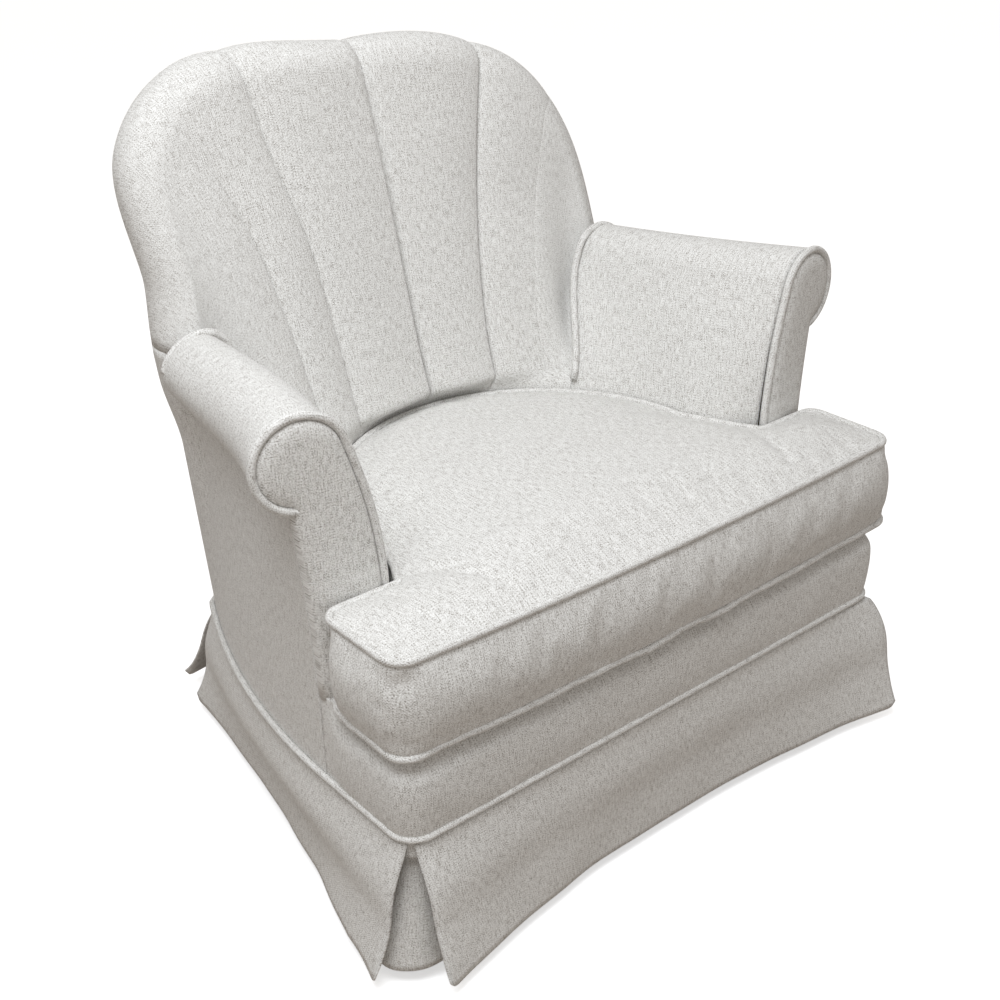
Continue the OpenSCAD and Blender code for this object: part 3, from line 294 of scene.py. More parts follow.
def wovenCloth(name, sizes):
    # heathered plain weave of polyester linen: from a step away a soft off-white with fine grey dashes,
    # close up uneven light and dark slub threads, matte with a faint sheen at the edges
    material, tree, shader = newMaterial(name)
    uv = addNode(tree, "ShaderNodeUVMap", {"uv_map": "Cloth"}).outputs[0]
    pitch = 1000 / sizes["thread"]
    jitter = addNode(tree, "ShaderNodeTexNoise", {}, Vector=uv, Scale=40.0, Detail=2.0, Roughness=0.6)
    moved = addNode(tree, "ShaderNodeVectorMath", {"operation": "MULTIPLY_ADD"},
                    i0=jitter.outputs["Color"], i1=(sizes["wander"], sizes["wander"], 0.0), i2=uv).outputs[0]
    tones = []
    for across, along, seed in sizes["slubs"]:
        run = addNode(tree, "ShaderNodeMapping", {}, Vector=moved, Location=(seed, seed, 0.0),
                      Scale=(pitch * across, pitch * along, 1.0))
        slub = addNode(tree, "ShaderNodeTexNoise", {}, Vector=run.outputs[0], Scale=1.0, Detail=1.0,
                       Roughness=0.5)
        tones.append(slub.outputs[0])
    # the crosswise threads are more even than the lengthwise ones
    half = sizes["weft"] / 2
    tones[1] = addNode(tree, "ShaderNodeMapRange", {}, i0=tones[1], i3=0.5 - half, i4=0.5 + half).outputs[0]
    parts = addNode(tree, "ShaderNodeSeparateXYZ", {}, Vector=moved)
    waves = []
    for axis in (0, 1):
        turned = addNode(tree, "ShaderNodeMath", {"operation": "MULTIPLY"}, i0=parts.outputs[axis],
                         i1=math.pi * pitch)
        waves.append(addNode(tree, "ShaderNodeMath", {"operation": "SINE"}, i0=turned.outputs[0]).outputs[0])
    crossing = addNode(tree, "ShaderNodeMath", {"operation": "MULTIPLY"}, i0=waves[0], i1=waves[1]).outputs[0]
    over = addNode(tree, "ShaderNodeMapRange", {}, i0=crossing, i1=-0.3, i2=0.3)
    thread = addNode(tree, "ShaderNodeMix", {"data_type": "FLOAT"}, i0=over.outputs[0],
                     i2=tones[0], i3=tones[1]).outputs[0]
    fleck = addNode(tree, "ShaderNodeTexNoise", {}, Vector=uv, Scale=sizes["fleckScale"], Detail=1.0)
    flecked = addNode(tree, "ShaderNodeMath", {"operation": "MULTIPLY_ADD"}, i0=fleck.outputs[0],
                      i1=sizes["fleck"], i2=thread)
    centred = addNode(tree, "ShaderNodeMath", {"operation": "SUBTRACT"}, i0=flecked.outputs[0],
                      i1=sizes["fleck"] / 2)
    cloud = addNode(tree, "ShaderNodeTexNoise", {}, Vector=uv, Scale=sizes["cloudScale"], Detail=2.0)
    tone = addNode(tree, "ShaderNodeMath", {"operation": "MULTIPLY_ADD"}, i0=cloud.outputs[0],
                   i1=sizes["cloud"], i2=centred.outputs[0])
    stops = ((sizes["low"], hexColour(sizes["dark"])), (sizes["high"], hexColour(sizes["light"])),
             ((sizes["low"] + sizes["high"]) / 2, hexColour(sizes["mid"])))
    height = addNode(tree, "ShaderNodeMath", {"operation": "MULTIPLY_ADD"}, i0=crossing, i1=0.2, i2=thread)
    paintAndRaise(tree, shader, tone.outputs[0], stops, sizes["bump"], 0.0014, height.outputs[0])
    shader.inputs["Roughness"].default_value = 0.9
    shader.inputs["Sheen Weight"].default_value = 0.08
    shader.inputs["Sheen Roughness"].default_value = 0.5
    shader.inputs["Specular IOR Level"].default_value = 0.15
    return material


cloth = wovenCloth("HeatheredPlainWeave", weave)
print("materials made")


# shape of the seat body, shared by the panels

body = {"front": 4, "half": 375, "corner": 26, "end": 555, "drawIn": 90, "rearBow": 16}
arm = {"face": 132, "faceDepth": 10, "half": 301, "setBack": 8.7, "rollX": 377, "rollZ": 565, "rollR": 50,
       "draw": 95, "spread": 28, "fall": 9, "taper": 10, "run": 312.7, "footRun": 240.7, "belly": 7,
       "inner": 158, "under": -74}
well = {"radius": 240, "y": 228, "neck": 281, "ear": 126, "gap": 5.5, "flareRun": 40}
# heights of the cushion's upper piping, of the arm fronts' foot and of the covers' foot behind the cushion
seatLine, seatBase, deckFoot = 405, 287, 285
clear = 2 * general["gap"]
weltR = general["weltDiameter"] / 2
innerR = well["radius"] + well["gap"]
padY = arm["face"] + arm["faceDepth"] + general["gap"]
faceTan = math.tan(math.radians(arm["setBack"]))
sideFront = padY + (body["half"] - arm["half"]) * faceTan


def sideX(depth):
    return body["half"] - body["drawIn"] * clamp((depth - sideFront) / (body["end"] - sideFront)) ** 2


def rearY(x):
    return body["end"] + body["rearBow"] * (1 - (x / sideX(body["end"])) ** 2)


def wellX(depth):
    share = clamp((depth - well["ear"]) / (well["y"] - well["ear"]))
    line = mix(well["neck"], well["radius"], share) + well["gap"]
    if depth >= well["y"]:
        line = math.sqrt(max(0, innerR ** 2 - (depth - well["y"]) ** 2))
    flare = (arm["half"] - well["neck"] - weltR) * clamp(1 - (depth - padY) / well["flareRun"]) ** 2
    return line + flare


def rollAt(s):
    # the middle of the arm's roll, from its front at 0 to the back at 1
    return (arm["rollX"] - arm["draw"] * s + arm["spread"] * s * s, padY + arm["run"] * s,
            arm["rollZ"] - arm["fall"] * s)


def rollR(s):
    return arm["rollR"] - arm["taper"] * s


def onRoll(s, degrees, inset=0.0):
    c, r, a = rollAt(s), rollR(s) - inset, math.radians(degrees)
    return (c[0] + r * math.cos(a), c[1], c[2] + r * math.sin(a))


def slopeAt(s, t):
    tip = onRoll(s, arm["inner"])
    footY = padY + arm["footRun"] * s
    return (mix(wellX(footY), tip[0], t) - arm["belly"] * math.sin(math.pi * t) * (1 - s),
            mix(footY, tip[1], ease(t)), mix(seatLine, tip[2], t))


def slanted(point, s):
    return (point[0], point[1] + max(0, point[0] - arm["half"]) * faceTan * (1 - s), point[2])


# camera at the photograph's angle

camera = {"at": (-1.0021, -1.2241, 1.1541), "yaw": 39.377, "pitch": 27.435, "roll": -1.142, "lens": 50.77}


def makeCamera(sizes):
    yaw, pitch, roll = (math.radians(sizes[key]) for key in ("yaw", "pitch", "roll"))
    ahead = Vector((math.sin(yaw) * math.cos(pitch), math.cos(yaw) * math.cos(pitch), -math.sin(pitch)))
    right = Vector((math.cos(yaw), -math.sin(yaw), 0))
    up = right.cross(ahead)
    turnedRight = right * math.cos(roll) + up * math.sin(roll)
    turnedUp = up * math.cos(roll) - right * math.sin(roll)
    data = bpy.data.cameras.new("PhotoCamera")
    data.sensor_width = 36
    data.lens = sizes["lens"]
    obj = bpy.data.objects.new("PhotoCamera", data)
    bpy.context.scene.collection.objects.link(obj)
    obj.matrix_world = Matrix((turnedRight, turnedUp, -ahead)).transposed().to_4x4()
    obj.location = sizes["at"]
    bpy.context.scene.camera = obj


makeCamera(camera)

# floor, backdrop and light

light = {"sky": 0.47, "skyColour": (1.0, 0.962, 0.925), "softbox": 30.5, "lampColour": (0.935, 0.966, 1.0),
         "size": 1.1, "place": (-0.8, -0.62, 2.2), "aim": (0.0, 0.0, 0.45), "floor": "#ffffff",
         "floorUnseen": "#b0a69c", "floorGlow": 0.55, "floorHalf": 14}


def seenDirectly(tree):
    # 1 for camera, glossy and transmission rays, 0 for light that bounces on
    ray = addNode(tree, "ShaderNodeLightPath")
    seen = addNode(tree, "ShaderNodeMath", {"operation": "MAXIMUM"}, i0=ray.outputs["Is Camera Ray"],
                   i1=ray.outputs["Is Glossy Ray"])
    return addNode(tree, "ShaderNodeMath", {"operation": "MAXIMUM"}, i0=seen.outputs[0],
                   i1=ray.outputs["Is Transmission Ray"]).outputs[0]


def makeStage(sizes):
    # a white floor that throws little light back at the chair, as a real room's floor does
    bm = bmesh.new()
    bmesh.ops.create_grid(bm, x_segments=1, y_segments=1, size=sizes["floorHalf"])
    material, tree, shader = newMaterial("StudioFloor")
    seen = seenDirectly(tree)
    paint = addNode(tree, "ShaderNodeMix", {"data_type": "RGBA"}, i0=seen,
                    i6=hexColour(sizes["floorUnseen"]), i7=hexColour(sizes["floor"]))
    tree.links.new(paint.outputs[2], shader.inputs["Base Color"])
    glow = addNode(tree, "ShaderNodeMath", {"operation": "MULTIPLY"}, i0=seen, i1=sizes["floorGlow"])
    tree.links.new(glow.outputs[0], shader.inputs["Emission Strength"])
    shader.inputs["Emission Color"].default_value = (1.0, 1.0, 1.0, 1.0)
    shader.inputs["Roughness"].default_value = 1.0
    shader.inputs["Specular IOR Level"].default_value = 0.0
    objectFrom(bm, "Floor", material)
    world = bpy.data.worlds.new("StudioLight")
    bpy.context.scene.world = world
    world.use_nodes = True
    sky = world.node_tree
    seen = seenDirectly(sky)
    power = addNode(sky, "ShaderNodeMix", {"data_type": "FLOAT"}, i0=seen, i2=sizes["sky"], i3=1.0)
    background = sky.nodes["Background"]
    tint = addNode(sky, "ShaderNodeMix", {"data_type": "RGBA"}, i0=seen, i6=(*sizes["skyColour"], 1.0),
                   i7=(1.0, 1.0, 1.0, 1.0))
    sky.links.new(tint.outputs[2], background.inputs[0])
    sky.links.new(power.outputs[0], background.inputs[1])
    lamp = bpy.data.lights.new("Softbox", "AREA")
    lamp.shape = "SQUARE"
    lamp.size = sizes["size"]
    lamp.energy = sizes["softbox"]
    lamp.color = sizes["lampColour"]
    softbox = bpy.data.objects.new("Softbox", lamp)
    bpy.context.scene.collection.objects.link(softbox)
    softbox.location = sizes["place"]
    softbox.rotation_mode = "QUATERNION"
    softbox.rotation_quaternion = (Vector(sizes["place"]) - Vector(sizes["aim"])).to_track_quat("Z", "Y")


makeStage(light)
bpy.context.scene.view_settings.view_transform = "Standard"
print("camera and stage made")

# inside back: six padded channels that roll over the crest

back = {"channels": 6, "top": 865, "width": 662, "edgeR": 27, "edgeD": 88, "crestY": 590, "groove": 9,
        "share": 0.597, "fan": 1.15, "faceLow": 430, "baseHalf": 202, "baseCurve": 586, "baseY": 444,
        "baseShare": 0.9, "sideCurve": 1.6, "lean": 0.85, "tuck": 6, "thickness": 12, "grooveCurve": 0.5,
        "seams": (1.0, 1.25, 1.2, 1.2, 0.2), "creases": (0.5, 1, 10, 10, 0), "creaseShare": 0.026,
        "overEdge": 0.4, "rollFrom": -77, "rollSoft": 15, "gather": 0.72, "fadeFrom": 0.62, "fadeRun": 0.3,
        "driftLow": (0.05, 0.0, 0.025, 0, 0), "driftHigh": (0.2, 0.1, 0.003, 0, 0),
        "footRows": 0.06, "turnRows": 0.1, "faceRows": 0.68, "footTop": 412, "rollTo": 66, "rollFade": 1.4,
        "tightFrom": 0.72, "tightRun": 0.25}
crestX = back["width"] / 2 - back["edgeR"]
crestLow = arm["rollZ"] + 5
crestRise = back["top"] - back["edgeR"] - crestLow
crestNear = padY + arm["run"] + clear + back["edgeD"] / 2


def crestAt(u):
    # the line through the middle of the rolled edge, from one arm over the top to the other
    q = math.radians(90 * abs(u) ** back["fan"])
    rise = max(0.0, math.cos(q)) ** back["share"]
    sign = math.copysign(1, u)
    return Vector((sign * crestX * math.sin(q) ** back["share"], mix(crestNear, back["crestY"], rise),
                   crestLow + crestRise * rise))


def crestOut(u):
    q = math.radians(90 * abs(u) ** back["fan"])
    power = 2 - back["share"]
    return Vector((math.copysign(1, u) * math.sin(q) ** power / crestX, 0,
                   max(0.0, math.cos(q)) ** power / crestRise)).normalized()


def rolled(u, degrees, inset=0.0):
    # the front half of the roll is rounder than the rear half
    a = math.radians(degrees)
    soft = back["rollSoft"] if degrees < 0 else 0
    out = (back["edgeR"] + soft - inset) * math.cos(a) - soft
    return crestAt(u) + out * crestOut(u) + Vector((0, (back["edgeD"] / 2 - inset) * math.sin(a), 0))


def drifted(u, t):
    # the seams on the left fan out in a curve
    f = (u + 1) / 2 * back["channels"]
    seam = min(back["channels"] - 1, int(f))
    shifts = [0.0, *(mix(a, b, t) for a, b in zip(back["driftLow"], back["driftHigh"])), 0.0]
    return u + mix(shifts[seam], shifts[seam + 1], f - seam)


def grooveAt(u, roll=0.0, t=0.0):
    # a soft valley at each seam with a sewn crease in it; both fade over the rolled edge
    f = (u + 1) / 2 * back["channels"]
    seam = round(f)
    if seam < 1 or seam > back["channels"] - 1:
        return 0.0
    away = abs(f - seam)
    valley = 1 - math.sin(math.pi * min(0.5, away)) ** back["grooveCurve"]
    valley *= back["groove"] * back["seams"][seam - 1]
    crease = back["creases"][seam - 1] * clamp(1 - away / back["creaseShare"]) ** 1.5
    # the first seam runs out before it reaches the rolled edge
    left = 1 - ease((t - back["fadeFrom"]) / back["fadeRun"]) if seam == 1 else 1
    return (valley + crease) * mix(1, back["overEdge"], ease(roll)) * left


def gathered(u):
    # more columns of the grid near the seams
    f = (u + 1) / 2 * back["channels"]
    f -= back["gather"] / (2 * math.pi) * math.sin(2 * math.pi * f)
    return min(1.0, max(-1.0, f * 2 / back["channels"] - 1))


def baseX(u, half):
    return math.copysign(half * math.sin(math.pi / 2 * abs(u) ** back["baseShare"]), u)


def armEnd(z):
    t = clamp((z - seatLine) / (crestLow - seatLine))
    footY = padY + arm["footRun"]
    return mix(wellX(footY), onRoll(1, arm["inner"])[0], t), mix(footY, padY + arm["run"], ease(t))


def plainFace(u, v):
    # the face without its channels; its sides fold in behind the arms
    top = rolled(u, back["rollFrom"])
    x = baseX(u, back["baseHalf"])
    y = back["baseY"] - back["baseCurve"] + math.sqrt(back["baseCurve"] ** 2 - x * x)
    middle = Vector((mix(x, top.x, v ** back["sideCurve"]), mix(y, top.y, v ** back["lean"]),
                     mix(back["faceLow"], top.z, v)))
    endX, endY = armEnd(mix(back["faceLow"], crestLow, v))
    side = mix(endX + back["tuck"], crestX, v ** 4)
    folded = Vector((math.copysign(side, u), mix(endY + clear, top.y, v), mix(back["faceLow"], crestLow, v)))
    return middle.lerp(folded, clamp(3 * abs(u) - 2) ** 2 * (1 - v ** 3))


def backFoot(u, z):
    edge = math.sqrt(innerR ** 2 - (padY + arm["footRun"] + clear - well["y"]) ** 2)
    x = baseX(u, edge)
    return Vector((x, well["y"] + math.sqrt(innerR ** 2 - x * x), z))


def backPoint(u, v):
    # v runs up from behind the cushion, over the face and round the rolled edge
    u = gathered(u)
    foot, turn, face = back["footRows"], back["turnRows"], back["faceRows"]
    t = clamp((v - turn) / (face - turn))
    here = drifted(u, t)
    if v >= face:
        roll = (v - face) / (1 - face)
        tight = 1 - ease((roll - back["tightFrom"]) / back["tightRun"])
        groove = grooveAt(u, roll * back["rollFade"], 1) * tight
        return spot(*rolled(here, mix(back["rollFrom"], back["rollTo"], roll), groove))
    if v < foot:
        p = backFoot(here, mix(deckFoot, back["footTop"], v / foot))
        groove = 0.0
    elif v < turn:
        share = (v - foot) / (turn - foot)
        p = backFoot(here, back["footTop"]).lerp(plainFace(here, 0), share)
        groove = grooveAt(u) * share
    else:
        p = plainFace(here, t)
        groove = grooveAt(u, 0, t)
    return spot(p.x, p.y + groove, p.z)


# the real back is stuffed unevenly: fuller at the left shoulder and lower at the right one
shoulders = {"left": (-20, 10, 17), "leftLow": 630, "leftReach": 210,
             "right": (-6, -9, -7), "rightLow": 622, "rightReach": 240, "blend": 130}
# its left arm stands out a little further where it meets the back
elbow = {"out": 11, "low": 430, "lowRun": 100, "high": 645, "highRun": 90, "depth": 190, "depthRun": 240,
         "side": 170, "sideRun": 90}


def uneven(obj):
    for vert in obj.data.vertices:
        x, _, z = placeOf(vert.co)
        side = "left" if x < 0 else "right"
        share = ease((z - shoulders[side + "Low"]) / shoulders["blend"])
        share *= ease(abs(x) / shoulders[side + "Reach"])
        vert.co += Vector(shoulders[side]) * share / 1000
        # the shoulder's shift may have changed the depth
        depth = placeOf(vert.co)[1]
        share = ease((z - elbow["low"]) / elbow["lowRun"]) * ease((elbow["high"] - z) / elbow["highRun"])
        share *= ease((depth - elbow["depth"]) / elbow["depthRun"])
        share *= ease((-x - elbow["side"]) / elbow["sideRun"])
        vert.co.x -= elbow["out"] * share / 1000


insideBack = clothPatch("insideBack", 240, 96, backPoint, Vector((0, -1, 0.2)), cloth)
uneven(insideBack)
thicken(insideBack, back["thickness"])
finishPiece(insideBack, "inside_back")
print("inside back made:", len(insideBack.data.vertices), "points")

# arms

armPad = {"foot": 0.1, "inside": 0.42, "sleeve": 0.9, "capRound": 5, "thickness": 8}


def armPoint(u, v):
    # up the inside and over the roll; the last columns close the roll's rear end
    along = (u + 1) / 2 / armPad["sleeve"]
    s, cap = clamp(along), clamp((along - 1) * armPad["sleeve"] / (1 - armPad["sleeve"]))
    if v < armPad["foot"]:
        x, depth, z = slopeAt(s, 0)
        p = (x, depth, mix(deckFoot, z, v / armPad["foot"]))
    elif v < armPad["inside"]:
        p = slopeAt(s, (v - armPad["foot"]) / (armPad["inside"] - armPad["foot"]))
    else:
        p = onRoll(s, mix(arm["inner"], arm["under"], (v - armPad["inside"]) / (1 - armPad["inside"])))
    p = Vector(slanted(p, s)).lerp(Vector(rollAt(1)), cap * cap)
    return spot(p.x, p.y + armPad["capRound"] * math.sin(math.pi / 2 * cap), p.z)


rightArm = clothPatch("rightArmPad", 70, 70, armPoint, Vector((-0.3, 0, 1)), cloth)
thicken(rightArm, armPad["thickness"])
leftArm = mirroredCopy(rightArm, "leftArmPad")
uneven(leftArm)
finishPiece(rightArm, "right_arm_pad")
finishPiece(leftArm, "left_arm_pad")

# front panels of the arms, with the piping around each scroll

panel = {"wings": (-50, -10, 30, 60), "cols": 6, "low": 158, "weltShare": 0.09, "bend": 3, "thickness": 6,
         "rearSeam": 66, "hollow": 2.5}
armFront = {"inset": 4.0, "behind": 12, "rim": 8.5, "puff": 9.0, "rims": 4, "rimWidth": 2.2, "fullness": 1.6}


def aboveWelt(h):
    # the outside panels hang straight behind the skirt's piping and lean out only above it
    return clamp((h - panel["weltShare"]) / (1 - panel["weltShare"]))


def faceOutline(inset):
    # inside edge up to the scroll, around it, then down the outer corner
    notchZ = arm["rollZ"] - arm["rollR"] - weltR
    points = [(wellX(padY) + inset, seatBase)]
    for k in range(9):
        x, _, z = slopeAt(0, k / 9)
        points.append((x + inset, z))
    for k in range(29):
        x, _, z = onRoll(0, mix(arm["inner"], arm["under"], k / 28), inset)
        points.append((x, z))
    # the outer corner leans in under the scroll, as the outside panel does
    top = onRoll(0, arm["under"])
    for k in range(9):
        z = mix(notchZ - 4, seatBase, k / 8)
        lean = aboveWelt((z - panel["low"]) / (top[2] - panel["low"]))
        points.append((mix(body["half"], top[0], lean ** panel["bend"]) - 0.5, z))
    return points


def makeArmFront(sizes):
    bm = bmesh.new()
    corners = []
    for x, z in faceOutline(sizes["inset"]):
        depth = arm["face"] + sizes["behind"] + (x - arm["half"]) * faceTan
        corners.append(bm.verts.new(spot(x, depth, z)))
    face = bm.faces.new(corners)
    bm.normal_update()
    if face.normal.y > 0:
        face.normal_flip()
    pushed = bmesh.ops.extrude_face_region(bm, geom=[face])["geom"]
    moved = [item for item in pushed if isinstance(item, bmesh.types.BMVert)]
    front = [item for item in pushed if isinstance(item, bmesh.types.BMFace)]
    bmesh.ops.translate(bm, verts=moved, vec=Vector((0, -sizes["rim"] / 1000, 0)))
    if face.is_valid:
        bmesh.ops.delete(bm, geom=[face], context="FACES_ONLY")
    # each ring towards the middle is wider and rises less
    width, rise = sizes["rimWidth"] / 1000, sizes["puff"] / 1000 / sizes["rims"]
    for step in range(sizes["rims"]):
        share = 1 - (step + 0.5) / sizes["rims"]
        bmesh.ops.inset_region(bm, faces=front, thickness=width + width * step,
                               depth=rise * share * sizes["fullness"], use_even_offset=False)
    bmesh.ops.triangulate(bm, faces=[f for f in bm.faces if len(f.verts) > 4])
    bmesh.ops.recalc_face_normals(bm, faces=bm.faces)
    uv = bm.loops.layers.uv.new("Cloth")
    for item in bm.faces:
        for loop in item.loops:
            loop[uv].uv = (loop.vert.co.x, loop.vert.co.z)
    return objectFrom(bm, "rightArmFront", cloth)


rightFront = makeArmFront(armFront)
leftFront = mirroredCopy(rightFront, "leftArmFront")
finishPiece(rightFront, "right_arm_front")
finishPiece(leftFront, "left_arm_front")


scroll = {"forward": 0.75, "end": -100, "tail": -112, "tailIn": 3, "tailBack": 4}


def scrollPath():
    depth = padY - general["gap"] - arm["faceDepth"] * scroll["forward"]
    points = []
    for k in range(13):
        x, _, z = slopeAt(0, k / 12)
        points.append(spot(*slanted((x, depth, seatBase if k == 0 else z), 0)))
    for k in range(1, 41):
        x, _, z = onRoll(0, mix(arm["inner"], scroll["end"], k / 40))
        points.append(spot(*slanted((x, depth, z), 0)))
    # the piping dies into the corner under the scroll
    x, _, z = onRoll(0, scroll["tail"], scroll["tailIn"])
    points.append(spot(*slanted((x, depth + scroll["tailBack"], z), 0)))
    return points


rightScroll = welt("rightScrollWelt", scrollPath(), cloth)
leftScroll = mirroredCopy(rightScroll, "leftScrollWelt")
finishPiece(rightScroll, "arm_welts")
finishPiece(leftScroll, "arm_welts")

# piping in the corner between each arm and the back

junction = {"start": 0.1, "turn": 0.92, "end": 6, "sink": 2}


def junctionPath():
    rise = weltR + clear
    points = []
    for k in range(13):
        x, depth, z = slopeAt(1, mix(junction["start"], junction["turn"], k / 12))
        points.append(spot(x - rise, depth - rise, z))
    for k in range(25):
        sunk = mix(-rise, junction["sink"], ease(k / 16))
        x, depth, z = onRoll(1, mix(arm["inner"], junction["end"], k / 24), sunk)
        points.append(spot(x, depth - mix(rise, 1, ease(k / 24)), z))
    return points


rightJunction = welt("rightBackWelt", junctionPath(), cloth)
leftJunction = mirroredCopy(rightJunction, "leftBackWelt")
uneven(leftJunction)
finishPiece(rightJunction, "back_welts")
finishPiece(leftJunction, "back_welts")
print("arm fronts and piping made")

# outside of the arms and of the back


def panelTop(k):
    if k <= panel["cols"]:
        s = k / panel["cols"]
        x, depth, z = slanted(onRoll(s, arm["under"]), s)
        return Vector((x, depth + clear * (1 - s), z - clear))
    return rolled(1, panel["wings"][k - panel["cols"] - 1]) - Vector((0, 0, clear))


panelCount = panel["cols"] + len(panel["wings"])
panelTops = smoothPath([panelTop(k) for k in range(panelCount + 1)], 8)


def panelPoint(u, h):
    k = clamp((u + 1) / 2) * panelCount
    top = panelTops[round(k * 8)]
    armEndY, sideEnd = padY + arm["run"], body["end"] - clear
    if k <= panel["cols"]:
        depth = mix(sideFront + clear, armEndY, k / panel["cols"])
    else:
        depth = mix(armEndY, sideEnd, (k - panel["cols"]) / len(panel["wings"]))
    bend = mix(panel["bend"], 1, k / panelCount)
    lean = aboveWelt(h)
    # softly sucked in between the welt and the roll, as cloth over webbing is
    hollow = panel["hollow"] * math.sin(math.pi * lean) * math.sin(math.pi * k / panelCount)
    x = mix(sideX(depth), top.x, lean ** bend) - hollow
    return spot(x, mix(depth, top.y, lean), mix(panel["low"], top.z, h))


rightOutside = clothPatch("rightOutsideArm", panelCount * 8, 40, panelPoint, Vector((1, 0, 0)), cloth)
thicken(rightOutside, panel["thickness"])
leftOutside = mirroredCopy(rightOutside, "leftOutsideArm")
uneven(rightOutside)
uneven(leftOutside)
finishPiece(rightOutside, "right_outside_arm")
finishPiece(leftOutside, "left_outside_arm")


def rearPoint(u, h):
    top = rolled(u, panel["rearSeam"])
    x = sideX(body["end"]) * u
    lean = aboveWelt(h)
    return spot(mix(x, top.x, lean), mix(rearY(x), top.y, lean), mix(panel["low"], top.z, h))


outsideBack = clothPatch("outsideBack", 72, 48, rearPoint, Vector((0, 1, 0)), cloth)
uneven(outsideBack)
thicken(outsideBack, panel["thickness"])
finishPiece(outsideBack, "outside_back")
print("outside panels made")

# padded border under the cushion

border = {"low": 158, "high": 292.2, "puff": 8, "from": 0.17, "to": 0.9, "setBack": 15, "lipFrom": 0.72,
          "endFade": 0.1, "thickness": 9, "ripple": (60, 2.2)}


def bodyOutline(steps=14):
    # right half of the seat body in plan, from the middle of the front to the arm
    half, r = body["half"], body["corner"]
    points = [(t / steps * (half - r), body["front"]) for t in range(steps)]
    points += arcPoints(half - r, body["front"] + r, r, -90, 0, 8)
    return points + [(half, mix(body["front"] + r, sideFront, t / steps)) for t in range(1, steps + 1)]


def outwardOf(loop):
    # the outward side at each point of a closed outline
    sides = []
    for before, after in zip(loop[-1:] + loop[:-1], loop[1:] + loop[:1]):
        ahead = Vector((after[0] - before[0], after[1] - before[1])).normalized()
        sides.append((ahead.y, -ahead.x))
    return sides


def lineSampler(points):
    # a point and its outward side for a share of the line's length
    lengths = [0.0]
    for a, b in zip(points, points[1:]):
        lengths.append(lengths[-1] + math.dist(a, b))

    def sample(share, off=0.0):
        target = clamp(share) * lengths[-1]
        k = max(1, next((i for i, run in enumerate(lengths) if run >= target - 1e-9), len(points) - 1))
        t = (target - lengths[k - 1]) / max(1e-9, lengths[k] - lengths[k - 1])
        a, b = points[k - 1], points[k]
        before, after = points[max(0, k - 2)], points[min(len(points) - 1, k + 1)]
        da = Vector((b[0] - before[0], b[1] - before[1])).normalized()
        db = Vector((after[0] - a[0], after[1] - a[1])).normalized()
        ahead = da.lerp(db, t).normalized()
        return (mix(a[0], b[0], t) + off * ahead.y, mix(a[1], b[1], t) - off * ahead.x)
    return sample


halfOutline = bodyOutline()
fullOutline = [(-x, y) for x, y in reversed(halfOutline[1:])] + halfOutline
borderAt = lineSampler(fullOutline)


def borderPoint(u, h):
    # fullest in the middle, set back under the cushion, and flat where it ends at the arms
    share = clamp((h - border["from"]) / (border["to"] - border["from"]))
    puff = border["puff"] * math.sin(math.pi * share) ** 0.6
    puff -= border["setBack"] * ease((h - border["lipFrom"]) / (1 - border["lipFrom"]))
    x, depth = borderAt((u + 1) / 2, puff * ease((1 - abs(u)) / border["endFade"]))
    p = spot(x, depth, mix(border["low"], border["high"], h))
    return p + Vector((0, -1, 0)) * ripple(p, *border["ripple"]) * math.sin(math.pi * h)


frontBorder = clothPatch("frontBorder", 200, 32, borderPoint, Vector((0, -1, 0)), cloth)
thicken(frontBorder, border["thickness"])
finishPiece(frontBorder, "front_border")

# skirt panels, pleat underlays and the piping over them

skirt = {"top": 181.2, "hem": 17, "out": 3.3, "thickness": 2.4, "hang": 1.1, "cornerTurn": 38, "bulge": 5,
         "frontHem": 381, "frontShift": 15, "frontMiddle": 8, "frontFlare": 50, "frontArc": 0.955,
         "sideHem": (14, 598), "sideFlare": 46, "sideRear": 20, "sideDraw": 25, "sideArc": 0.035,
         "sideFull": 2.2, "sideDrawn": 0.5, "rearFlare": 102, "rearHalf": 292,
         "tipR": 10, "tipShare": 0.035, "tipFrom": 0.7,
         "frontPower": 2.4, "sidePower": 3.6, "endStand": 18, "endFrom": 0.8, "endForward": 0.3,
         "standTo": 0.65, "drawFrom": 0.4, "wave": 90, "waveHigh": 5, "rearWaveHigh": 4, "weltDiameter": 7.6,
         "weltZ": 186}


def cornerArc(degrees):
    # point of the front corner, 0 at the front's end and 90 at the side's start
    r, a = body["corner"], math.radians(degrees - 90)
    wide = r + skirt["out"]
    return body["half"] - r + wide * math.cos(a), body["front"] + r + wide * math.sin(a)


def tipLift(u, t):
    # rounds the lower corners of a panel
    edge = clamp(1 - (1 - abs(u)) / skirt["tipShare"])
    low = clamp((t - skirt["tipFrom"]) / (1 - skirt["tipFrom"]))
    return skirt["tipR"] * (1 - math.sqrt(max(0, 1 - edge * edge))) * low ** 2


def hangPoint(top, hem, t, bulge, u, drawn=0.1):
    # from the seam under the piping down to the hem, standing off a little near the top
    share = t ** skirt["hang"]
    lower = (t - skirt["drawFrom"]) / (1 - skirt["drawFrom"])
    stand = math.sin(math.pi * clamp(t / skirt["standTo"])) ** 2
    stand -= drawn * math.sin(math.pi * clamp(lower)) ** 2
    z = mix(skirt["top"], skirt["hem"], t) + tipLift(u, t)
    return (mix(top[0], hem[0], share), mix(top[1], hem[1], share), z), bulge * stand


